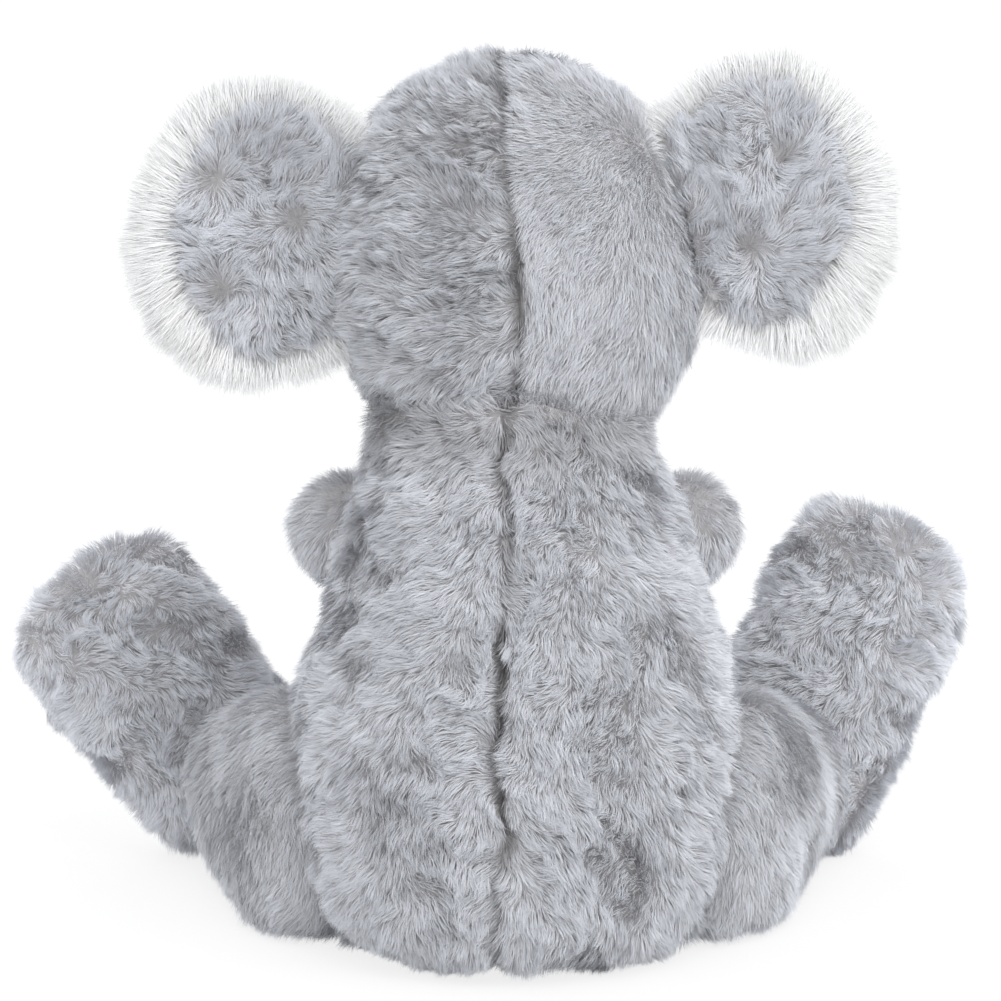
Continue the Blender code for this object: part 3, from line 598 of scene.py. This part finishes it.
def furred_cover(name, form, chosen, strands, material, node, deep=None):
    """Makes one cover of cloth and fibres. Every fibre and facet has its own place in the map."""
    cloth, quads = backing(form, chosen)
    spots = np.concatenate([strand[0] for strand in strands])
    shades = np.concatenate([strand[1] for strand in strands])
    heights = np.concatenate([strand[2] for strand in strands])
    count = len(spots)
    base = len(cloth)
    points = np.concatenate([cloth, spots.reshape(-1, 3)])
    blades = base + 4 * np.arange(count)[:, None] + np.array([0, 2, 1, 1, 2, 3])
    corners = np.concatenate([quads.ravel(), blades.ravel()])
    starts = np.concatenate([np.arange(len(quads)) * 4, quads.size + np.arange(2 * count) * 3])

    mesh = bpy.data.meshes.new(name)
    mesh.vertices.add(len(points))
    mesh.vertices.foreach_set("co", points.astype(np.float32).ravel())
    mesh.loops.add(len(corners))
    mesh.loops.foreach_set("vertex_index", corners.astype(np.int32))
    mesh.polygons.add(len(starts))
    mesh.polygons.foreach_set("loop_start", starts.astype(np.int32))
    mesh.update(calc_edges=True)
    mesh.shade_smooth()

    cells = len(quads) + count
    side = math.ceil(math.sqrt(cells))
    cell = np.arange(cells)
    corner = np.stack([cell % side, cell // side], axis=1)[:, None, :]
    facets = (corner[: len(quads)] + FACET_CELL).reshape(-1, 2)
    fibre_faces = (corner[len(quads) :] + BLADE_CELL).reshape(-1, 2)
    places = np.concatenate([facets, fibre_faces])
    layer = mesh.uv_layers.new(name="OFBake")
    layer.data.foreach_set("uv", (places / side).astype(np.float32).ravel())
    cloth_height = np.zeros(base)
    cloth_shade = np.zeros(base)
    # Painted shade: the cloth is darkened where the pile parts over it
    if deep is not None:
        cloth_shade = -SEAM_PAINTED_SHADE * deep(cloth)
    for label, under, values in (("height", cloth_height, heights), ("shade", cloth_shade, shades)):
        attribute = mesh.attributes.new(label, "FLOAT", "POINT")
        values = np.concatenate([under, values.ravel()])
        attribute.data.foreach_set("value", values.astype(np.float32))
    mesh.materials.append(material)

    cover = bpy.data.objects.new(name, mesh)
    scene.collection.objects.link(cover)
    bodies = frame["record"]["behaviour"]["bodies"]
    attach(cover, next(carrier for carrier, carried in bodies.items() if node in carried))
    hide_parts(node)


def pile_group():
    """Colour along a fibre, from its root to its tip, with a lighter or darker shade for each. That
    shade also carries painted shade where the pile parts, painted light on the feet and painted
    shade on the left head half.
    """
    group = bpy.data.node_groups.new("pile", "ShaderNodeTree")
    for label in ("Root", "Middle", "Tip"):
        group.interface.new_socket(label, in_out="INPUT", socket_type="NodeSocketColor")
    for label in ("Unevenness", "Patches"):
        group.interface.new_socket(label, in_out="INPUT", socket_type="NodeSocketFloat")
    group.interface.new_socket("Color", in_out="OUTPUT", socket_type="NodeSocketColor")
    nodes, links = group.nodes, group.links
    given = nodes.new("NodeGroupInput")
    result = nodes.new("NodeGroupOutput")
    height = nodes.new("ShaderNodeAttribute")
    height.attribute_name = "height"
    shade = nodes.new("ShaderNodeAttribute")
    shade.attribute_name = "shade"
    lower = nodes.new("ShaderNodeMapRange")
    lower.inputs["From Max"].default_value = PILE_MIDDLE
    upper = nodes.new("ShaderNodeMapRange")
    upper.inputs["From Min"].default_value = PILE_MIDDLE
    links.new(height.outputs["Fac"], lower.inputs["Value"])
    links.new(height.outputs["Fac"], upper.inputs["Value"])
    below = nodes.new("ShaderNodeMix")
    below.data_type = "RGBA"
    above = nodes.new("ShaderNodeMix")
    above.data_type = "RGBA"
    links.new(lower.outputs["Result"], below.inputs["Factor"])
    links.new(given.outputs["Root"], below.inputs["A"])
    links.new(given.outputs["Middle"], below.inputs["B"])
    links.new(upper.outputs["Result"], above.inputs["Factor"])
    links.new(below.outputs["Result"], above.inputs["A"])
    links.new(given.outputs["Tip"], above.inputs["B"])
    place = nodes.new("ShaderNodeTexCoord")
    patches = nodes.new("ShaderNodeTexNoise")
    patches.inputs["Scale"].default_value = 28
    patches.inputs["Detail"].default_value = 3
    links.new(place.outputs["Object"], patches.inputs["Vector"])
    centred = nodes.new("ShaderNodeMath")
    centred.operation = "SUBTRACT"
    centred.inputs[1].default_value = 0.5
    links.new(patches.outputs["Fac"], centred.inputs[0])
    broad = nodes.new("ShaderNodeMath")
    broad.operation = "MULTIPLY"
    links.new(centred.outputs["Value"], broad.inputs[0])
    links.new(given.outputs["Patches"], broad.inputs[1])
    fine = nodes.new("ShaderNodeMath")
    fine.operation = "MULTIPLY_ADD"
    links.new(shade.outputs["Fac"], fine.inputs[0])
    links.new(given.outputs["Unevenness"], fine.inputs[1])
    links.new(broad.outputs["Value"], fine.inputs[2])
    level = nodes.new("ShaderNodeMath")
    level.inputs[1].default_value = 1.0
    links.new(fine.outputs["Value"], level.inputs[0])
    shaded = nodes.new("ShaderNodeVectorMath")
    shaded.operation = "SCALE"
    links.new(above.outputs["Result"], shaded.inputs["Vector"])
    links.new(level.outputs["Value"], shaded.inputs["Scale"])
    links.new(shaded.outputs["Vector"], result.inputs["Color"])
    return group


def pile_material(name, group, root, middle, tip, unevenness, patches):
    """Pile of one colour. unevenness is from fibre to fibre, and patches are a few cm wide."""
    material, nodes, links, shader = new_material(name)
    fibre = nodes.new("ShaderNodeGroup")
    fibre.node_tree = group
    for label, colour in (("Root", root), ("Middle", middle), ("Tip", tip)):
        fibre.inputs[label].default_value = (*colour, 1)
    fibre.inputs["Unevenness"].default_value = unevenness
    fibre.inputs["Patches"].default_value = patches
    shader.inputs["Roughness"].default_value = 0.62
    shader.inputs["Specular IOR Level"].default_value = 0.22
    shader.inputs["Sheen Weight"].default_value = 0.12
    shader.inputs["Sheen Roughness"].default_value = 0.5
    links.new(fibre.outputs["Color"], shader.inputs["Base Color"])
    return material


def brushed(*way):
    """A nap that is brushed one way all over."""
    def nap(points):
        return np.tile(np.array(way, float), (len(points), 1))
    return nap


def spine_strength(points, width=SPINE_WIDTH):
    """How near points lie to the spine's seam, which wanders and shows more in some stretches."""
    wander = SPINE_WANDER * waves(points * (0, 0, 1), SPINE_WANDER_SIZE, 5)
    aside = np.where(points[:, 1] > 0, np.abs(points[:, 0] - SPINE - wander), 1.0)
    return bell(aside, width) * np.interp(points[:, 2], SPINE_HEIGHTS, SPINE_STRENGTHS)


def off_spine(*way):
    """A nap that turns away from the spine's seam close to it."""
    def nap(points):
        ways = brushed(*way)(points)
        outward = np.sign(points[:, 0] - SPINE)
        ways[:, 0] += SPINE_TURN * outward * spine_strength(points, SPINE_TURN_WIDTH)
        return ways
    return nap


def spine_trim(points):
    """Shorter pile in the spine's seam."""
    return 1 - SPINE_TRIM * spine_strength(points, SPINE_PARTING)


def neck_painted_shade(points):
    """Painted shade in the fold between head and body: how much the pile there is darkened."""
    return NECK_PAINTED_SHADE * bell(points[:, 2] - NECK, NECK_SPREAD)


def back_painted_shade(points):
    """Painted shade where the back's pile parts in the spine's seam, and in the fold under the
    head.
    """
    return np.maximum(spine_strength(points, SPINE_PARTING), neck_painted_shade(points))


pile = pile_group()
grey_pile = pile_material("grey_pile", pile, GREY_ROOT, GREY_MIDDLE, GREY_TIP, 0.06, 0.08)
white_pile = pile_material("white_pile", pile, WHITE_ROOT, WHITE_MIDDLE, WHITE_TIP, 0.02, 0.03)
crease(body, spine_strength(body["points"]), SPINE_DEPTH)
around_body = list(thighs.values()) + list(arms.values()) + [head]
for side in ("left", "right"):
    panel = "back_panel_" + side
    chosen = of_cover(body, panel)
    shown = exposed(body, chosen, around_body)
    behind = face_middles(body)[:, 1] > 0
    strands = [
        fibres(body, shown & behind, off_spine(*BACK_NAPS[side]), seed=100, trim=spine_trim,
               deep=back_painted_shade, **BACK_PILE),
        fibres(body, shown & ~behind, brushed(0, -0.3, -1), seed=105, density=2.4),
        fibres(body, chosen & ~shown, brushed(0, 0, -1), seed=110, density=0.8, **COVERED_PILE),
    ]
    furred_cover(
        side + "_back_cover", body, chosen, strands, grey_pile, panel, back_painted_shade
    )
chosen = of_cover(body, "belly_panel")
strands = [fibres(body, chosen, brushed(0, 0, -1), seed=120, density=2.6, length=0.0085)]
furred_cover("belly_cover", body, chosen, strands, white_pile, "belly_panel")
chosen = of_cover(body, "seat_panel")
strands = [fibres(body, chosen, brushed(0, 1, 0), seed=130, **SEAT_PILE)]
furred_cover("seat_cover", body, chosen, strands, grey_pile, "seat_panel")

# The legs' covers. Each thigh is a sewn tube that lies forward on the floor, with a broad foot
# sewn across its end. The sole is a panel of short brushed cloth, set into the foot's front.
THIGH_PILE = {"density": 3.4, "length": 0.0075, "lean": 58, "swirl": 30, "ripple": 12, "spread": 3,
              "pull": 0.3, "width": 0.00019}
# The feet's shade of 2.0 is painted light: it makes their pile lighter than the lamps leave it
FOOT_PILE = {"density": 3.5, "length": 0.0075, "lean": 40, "swirl": 70, "ripple": 40, "spread": 10,
             "tuft": 0.0032, "pull": 0.55, "shade": 2.0}
SOLE_PILE = {"density": 1.8, "length": 0.006, "lean": 55}
for side, out in (("left", 1), ("right", -1)):
    thigh, foot = thighs[side], feet[side]
    chosen = np.ones(len(thigh["faces"]), bool)
    shown = exposed(thigh, chosen, [body, foot])
    strands = [
        fibres(thigh, shown, brushed(0.4 * out, 0.3, -1), seed=200, **THIGH_PILE),
        fibres(thigh, chosen & ~shown, brushed(0, 0, -1), seed=205, density=0.6, **COVERED_PILE),
    ]
    leg = "leg_" + side
    furred_cover(side + "_thigh_cover", thigh, chosen, strands, grey_pile, leg)
    back = "foot_" + side
    chosen = of_cover(foot, back)
    shown = exposed(foot, chosen, [thigh])
    strands = [fibres(foot, shown, brushed(-0.4 * out, 0.4, -1), seed=210, **FOOT_PILE)]
    furred_cover(side + "_foot_cover", foot, chosen, strands, grey_pile, back)
    sole = "sole_" + side
    chosen = of_cover(foot, sole)
    strands = [fibres(foot, chosen, brushed(0, 0, -1), seed=220, **SOLE_PILE)]
    furred_cover(side + "_sole_cover", foot, chosen, strands, grey_pile, sole)

# The arms' covers. Each arm is a tapered tube with a rounded paw, sewn flat to the shoulder.
# Its pile is the body's own, brushed down and a little forward.
for side, out in (("left", 1), ("right", -1)):
    arm = arms[side]
    node = "arm_" + side
    chosen = of_cover(arm, node, "arm_stuffing_" + side)
    shown = exposed(arm, chosen, [body])
    strands = [
        fibres(arm, shown, brushed(0.2 * out, -0.2, -1), seed=300, length=0.0075),
        fibres(arm, chosen & ~shown, brushed(0, -1, 0), seed=305, density=0.6, **COVERED_PILE),
    ]
    furred_cover(side + "_arm_cover", arm, chosen, strands, grey_pile, node)

# The head's covers. Two head panels meet in a seam over the crown. The left one's pile stands up
# and the right one's lies smooth, and the pile is shorn round the eyes, the nose and the mouth.
CROWN = -0.0015  # how far from the middle its seam runs, towards the koala's left
CROWN_WANDER = 0.0014
CROWN_WANDER_SIZE = 0.06
CROWN_DEPTH = 0.0020
CROWN_WIDTH = 0.0026
# The dark line where the pile parts over the crown is painted shade
CROWN_PARTING = 0.0015  # width of the dark line where the pile parts
CROWN_PAINTED_SHADE = 0.75
CROWN_TRIM = 0.2
CROWN_TRIM_WIDTH = 0.0014
CROWN_TURN = 0.4  # how far the nap beside it turns away
CROWN_TURN_WIDTH = 0.005
CROWN_HEIGHTS = (0.24, 0.262, 0.285)
CROWN_SHIFTS = (0.0, 0.0018, 0.0032)  # the crown leans to the koala's left
SWEPT_HEIGHTS = (0.235, 0.27)
SWEPT = np.array((0.9, -0.5, 0.3))  # how the nap turns from the lower height to the upper one
CHEEK_HEIGHT = 0.213
CHEEK_SPREAD = 0.026
CHEEK_FULLNESS = 0.0035
FEATURES = {"eye_left": 0.0125, "eye_right": 0.0125, "nose": 0.0185, "mouth_stitch": 0.010}
RISES = {"eye_left": 0.0042, "eye_right": 0.0042, "nose": 0.0055, "mouth_stitch": 0.0060}
FACE_FADE = 0.009  # how far past a feature's reach the cloth falls back
SHORN_START = 0.35  # how near a feature's middle the pile is shortest, of its reach
SHORN_LEFT = 0.2
THREAD_CLEAR = 0.005  # pile is whole at this distance from the mouth's thread
THREAD_LEFT = 0.25
HEAD_BACK = -0.02  # faces behind this have the pile that the camera sees
HEAD_NAPS = {"left": (0.9, 0, -0.7), "right": (0.6, 0, -1)}
# The left half's shade of -1.8 is painted shade: it makes its pile darker than its standing nap and
# the lamps leave it
HEAD_PILE = {
    "left": {"lean": 33, "swirl": 55, "ripple": 38, "spread": 9, "tuft": 0.0024, "pull": 0.58,
             "shade": -1.8, "speckle": 1.2},
    "right": {"lean": 60, "swirl": 16, "ripple": 12, "spread": 3, "pull": 0.26, "width": 0.00018},
}
MUZZLE_PILE = {"density": 2.6, "length": 0.005, "lean": 55}


def crown_strength(points, width=CROWN_WIDTH):
    """How near points lie to the seam over the crown."""
    wander = CROWN_WANDER * waves(points * (0, 1, 1), CROWN_WANDER_SIZE, 7)
    wander += np.interp(points[:, 2], CROWN_HEIGHTS, CROWN_SHIFTS)
    return bell(points[:, 0] - CROWN - wander, width)


def off_crown(*way):
    """A nap that turns away from the crown's seam close to it, and is swept aside on top."""
    def nap(points):
        ways = brushed(*way)(points)
        ways += np.interp(points[:, 2], SWEPT_HEIGHTS, (0, 1))[:, None] * SWEPT
        outward = np.sign(points[:, 0] - CROWN)
        ways[:, 0] += CROWN_TURN * outward * crown_strength(points, CROWN_TURN_WIDTH)
        return ways
    return nap


def head_painted_shade(points):
    """Painted shade where the head's pile parts in the crown's seam, and in the fold over the body.
    """
    return np.maximum(CROWN_PAINTED_SHADE * crown_strength(points, CROWN_PARTING), neck_painted_shade(points))


def from_middle(points, name):
    """How far points are from the middle of one of the frame's solids."""
    low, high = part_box(name)
    return np.linalg.norm(points - (np.array(low) + np.array(high)) / 2, axis=1)


def face_rise(points):
    """How much nearer to the pile's surface the cloth lies, under the shorn pile of the face."""
    rise = np.zeros(len(points))
    for name, reach in FEATURES.items():
        past = np.maximum(from_middle(points, name) - reach, 0)
        rise = np.maximum(rise, RISES[name] * bell(past, FACE_FADE))
    return rise


def shorn(points):
    """Shorter pile at the crown's seam and round the face's features."""
    left = 1 - CROWN_TRIM * crown_strength(points, CROWN_TRIM_WIDTH)
    for name, reach in FEATURES.items():
        if name == "mouth_stitch":
            away = np.array([stitches.find_nearest(Vector(point))[3] for point in points])
            left = left * np.clip(away / THREAD_CLEAR, THREAD_LEFT, 1)
        else:
            left = left * np.clip(from_middle(points, name) / reach - SHORN_START, SHORN_LEFT, 1)
    return left


at = head["points"]
fuller = bell(at[:, 2] - CHEEK_HEIGHT, CHEEK_SPREAD) * head["normals"][:, 0] ** 2
head["points"] = at + head["normals"] * (CHEEK_FULLNESS * fuller)[:, None]
head["points"][:, 0] += np.interp(at[:, 2], CROWN_HEIGHTS, CROWN_SHIFTS)
stitches = tree_of("mouth_stitch")
crease(head, face_rise(head["surface"]), -1)
crease(head, crown_strength(head["points"]), CROWN_DEPTH)
around_head = list(ears.values()) + [body]
for side, seed in (("left", 400), ("right", 410)):
    panel = "head_panel_" + side
    chosen = of_cover(head, panel)
    shown = exposed(head, chosen, around_head)
    behind = face_middles(head)[:, 1] > HEAD_BACK
    strands = [
        fibres(head, shown & behind, off_crown(*HEAD_NAPS[side]), seed, density=4.2, trim=shorn,
               deep=head_painted_shade, **HEAD_PILE[side]),
        fibres(head, shown & ~behind, brushed(0, 0.2, -1), seed + 5, density=2.8, lean=56,
               trim=shorn),
    ]
    furred_cover(
        side + "_head_cover", head, chosen, strands, grey_pile, panel, head_painted_shade
    )
chosen = of_cover(head, "muzzle_panel")
strands = [fibres(head, chosen, brushed(0, 0, -1), seed=420, trim=shorn, **MUZZLE_PILE)]
furred_cover("muzzle_cover", head, chosen, strands, white_pile, "muzzle_panel")

# The ears' covers. Each ear is a flat round pad: grey pile behind, and long loose white pile on
# the wider lining, which stands out round the rim as a fringe. They are sewn into the head's sides.
WHORLS = {
    "left": ((-0.35, 0.11), (0.38, 0.40), (0.32, -0.42)),
    "right": ((0.09, 0.35), (-0.19, -0.30), (-0.52, -0.71)),
}  # where the pile behind parts, outwards and up, of the ear's half sizes
WHORL_SIZE = 0.0022
# Painted shade at a whorl's middle, where the pile parts
WHORL_PAINTED_SHADE = 0.6
EAR_SEAM_SHIFT = 0.20  # towards the head, of the ear's half width
EAR_SEAM_ACROSS = 0.80  # half the grey cloth's width behind, of the ear's half width
EAR_SEAM_UP = 0.86  # half its height, of the ear's half height
FRINGE_START = 0.76  # where the fringe starts on the lining's front
FRINGE_SPREAD = (1, 1.4, 1)  # it opens a little more to the front and the back
EAR_PILE = {"density": 5.0, "length": 0.0085, "lean": 44, "swirl": 50, "ripple": 48, "spread": 10,
            "tuft": 0.0034, "shade": 1.0}
FRINGE_PILE = {"density": 17.0, "length": 0.0138, "lean": None, "pull": 0.16, "tuft": 0.0045,
               "width": 0.00022, "loose": 0.2}
LINING_PILE = {"density": 3.0, "length": 0.011, "lean": 45}


def outwards(disc):
    """A nap that points away from the ear's middle."""
    def nap(points):
        return (points - disc) * FRINGE_SPREAD
    return nap


def parted(spots):
    """The nap behind the ear, which turns away from each whorl."""
    def nap(points):
        ways = np.zeros_like(points)
        for spot in spots:
            away = (points - spot) * (1, 0, 1)
            ways += away / ((away**2).sum(axis=1, keepdims=True) + WHORL_SIZE**2)
        return ways
    return nap


def whorl_lift_and_painted_shade(spots):
    """How far the pile stands up near each whorl, where it takes the root colour and painted shade
    darkens it.
    """
    def depth(points):
        strongest = np.zeros(len(points))
        for spot in spots:
            away = np.linalg.norm((points - spot)[:, [0, 2]], axis=1)
            strongest = np.maximum(strongest, WHORL_PAINTED_SHADE * bell(away, WHORL_SIZE))
        return strongest
    return depth


for side, out in (("left", 1), ("right", -1)):
    ear = ears[side]
    low, high = (np.array(corner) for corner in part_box("ear_lining_" + side))
    disc = (low + high) / 2
    halves = (high - low) / 2
    spots = [disc + halves * (out * aside, 0, up) for aside, up in WHORLS[side]]
    # Near each whorl the pile stands up and is darkened with painted shade
    deep = whorl_lift_and_painted_shade(spots)
    shares = (face_middles(ear) - disc) / halves
    sideways = (shares[:, 0] * out + EAR_SEAM_SHIFT) / EAR_SEAM_ACROSS
    grey = np.hypot(sideways, shares[:, 2] / EAR_SEAM_UP) < 1
    node = "ear_back_" + side
    back = of_cover(ear, node)
    behind = back & grey
    shown = exposed(ear, behind, [head])
    strands = [
        fibres(ear, shown, parted(spots), seed=500, deep=deep, upright=deep, **EAR_PILE),
    ]
    furred_cover(side + "_ear_back", ear, behind, strands, grey_pile, node, deep)
    chosen = ~behind
    shown = exposed(ear, chosen, [head])
    rim = back | (np.linalg.norm(shares[:, [0, 2]], axis=1) > FRINGE_START)
    strands = [
        fibres(ear, shown & rim, outwards(disc), seed=510, **FRINGE_PILE),
        fibres(ear, shown & ~rim, outwards(disc), seed=515, **LINING_PILE),
    ]
    node = "ear_lining_" + side
    furred_cover(side + "_ear_lining", ear, chosen, strands, white_pile, node)

# The eyes and the nose. They are polished domes of black plastic, each on a moulded stem that
# goes through the cover and is held by a ring washer that snaps on from inside.
DOME_SEGMENTS = 48
DOME_RINGS = 32
DOME_FLATNESS = 0.9  # lower makes the dome's top flatter and its side fuller
DOME_EDGE = math.radians(50)
STEM_SIDES = 24
STEM_RADIUS = 0.0018
BLACK = (0.012, 0.011, 0.011)
MOULDED = (0.72, 0.71, 0.67)


def seat_of(node, ring):
    """The middle of a button's flat, the way it looks, and how far it reaches and sinks."""
    points = np.array([tuple(vertex.co) for vertex in frame["nodes"][node].data.vertices])
    round_stem = np.array([tuple(vertex.co) for vertex in frame["nodes"][ring].data.vertices])
    middle = (round_stem.min(axis=0) + round_stem.max(axis=0)) / 2
    axis = np.linalg.svd(round_stem - middle)[2][2]
    if (points.mean(axis=0) - middle) @ axis < 0:
        axis = -axis
    heights = (points - middle) @ axis
    off_axis = points - middle - heights[:, None] * axis
    wide = np.linalg.norm(off_axis, axis=1) > 2 * STEM_RADIUS
    flat = heights[wide].min()
    across = unit(np.cross((0, 0, 1), axis))
    upwards = np.cross(axis, across)
    turn = Matrix((across, upwards, axis)).transposed().to_4x4()
    reach = (abs(off_axis @ across).max(), abs(off_axis @ upwards).max(), heights.max() - flat)
    return Matrix.Translation(middle + flat * axis) @ turn, reach, flat - heights.min()


polished, nodes, links, shader = new_material("polished_black")
place = nodes.new("ShaderNodeTexCoord")
dust = nodes.new("ShaderNodeTexNoise")
dust.inputs["Scale"].default_value = 700
dust.inputs["Detail"].default_value = 4
dull = nodes.new("ShaderNodeMapRange")
dull.inputs["From Min"].default_value = 0.4
dull.inputs["From Max"].default_value = 0.7
dull.inputs["To Min"].default_value = 0.10
dull.inputs["To Max"].default_value = 0.22
links.new(place.outputs["Object"], dust.inputs["Vector"])
links.new(dust.outputs["Fac"], dull.inputs["Value"])
links.new(dull.outputs["Result"], shader.inputs["Roughness"])
shader.inputs["Base Color"].default_value = (*BLACK, 1)
shader.inputs["Coat Weight"].default_value = 0.5
shader.inputs["Coat Roughness"].default_value = 0.05

moulded, nodes, links, shader = new_material("moulded_natural")
place = nodes.new("ShaderNodeTexCoord")
flow = nodes.new("ShaderNodeTexNoise")
flow.inputs["Scale"].default_value = 400
flow.inputs["Distortion"].default_value = 2
orange_peel = nodes.new("ShaderNodeBump")
orange_peel.inputs["Strength"].default_value = 0.2
orange_peel.inputs["Distance"].default_value = 0.0001
links.new(place.outputs["Object"], flow.inputs["Vector"])
links.new(flow.outputs["Fac"], orange_peel.inputs["Height"])
links.new(orange_peel.outputs["Normal"], shader.inputs["Normal"])
shader.inputs["Base Color"].default_value = (*MOULDED, 1)
shader.inputs["Roughness"].default_value = 0.45

for node in ("eye_left", "eye_right", "nose"):
    seat, reach, sink = seat_of(node, node + "_washer")
    bpy.ops.mesh.primitive_uv_sphere_add(segments=DOME_SEGMENTS, ring_count=DOME_RINGS, radius=1)
    dome = bpy.context.object
    for vertex in dome.data.vertices:
        vertex.co.z = max(vertex.co.z, 0) ** DOME_FLATNESS
    dome.data.transform(seat @ Matrix.Diagonal((*reach, 1)))
    bpy.ops.mesh.primitive_cylinder_add(vertices=STEM_SIDES, radius=STEM_RADIUS, depth=sink)
    stem = bpy.context.object
    stem.data.transform(seat @ Matrix.Translation((0, 0, -sink / 2)))
    bpy.ops.object.select_all(action="DESELECT")
    for part in (stem, dome):
        part.select_set(True)
    bpy.context.view_layer.objects.active = dome
    bpy.ops.object.join()
    dome.name = node + "_button"
    dome.data.shade_smooth()
    dome.data.set_sharp_from_angle(angle=DOME_EDGE)
    dome.data.materials.clear()
    dome.data.materials.append(polished)
    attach(dome, "head")
    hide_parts(node)
    frame["nodes"][node + "_washer"].material_slots[0].material = moulded

# The mouth. Two short curves of thick black thread are stitched through the muzzle's cover,
# and their twist shows as fine slanting ridges.
THREAD_DARK = (0.012, 0.012, 0.013)
THREAD_LIGHT = (0.05, 0.05, 0.052)
thread, nodes, links, shader = new_material("black_thread")
place = nodes.new("ShaderNodeTexCoord")
plies = nodes.new("ShaderNodeTexWave")
plies.bands_direction = "DIAGONAL"
plies.inputs["Scale"].default_value = 260
plies.inputs["Distortion"].default_value = 0.4
links.new(place.outputs["Object"], plies.inputs["Vector"])
tones = (THREAD_DARK, THREAD_LIGHT)
grained(nodes, links, shader, plies.outputs["Fac"], tones, strength=0.8, depth=0.0002)
shader.inputs["Roughness"].default_value = 0.7
frame["nodes"]["mouth_stitch"].material_slots[0].material = thread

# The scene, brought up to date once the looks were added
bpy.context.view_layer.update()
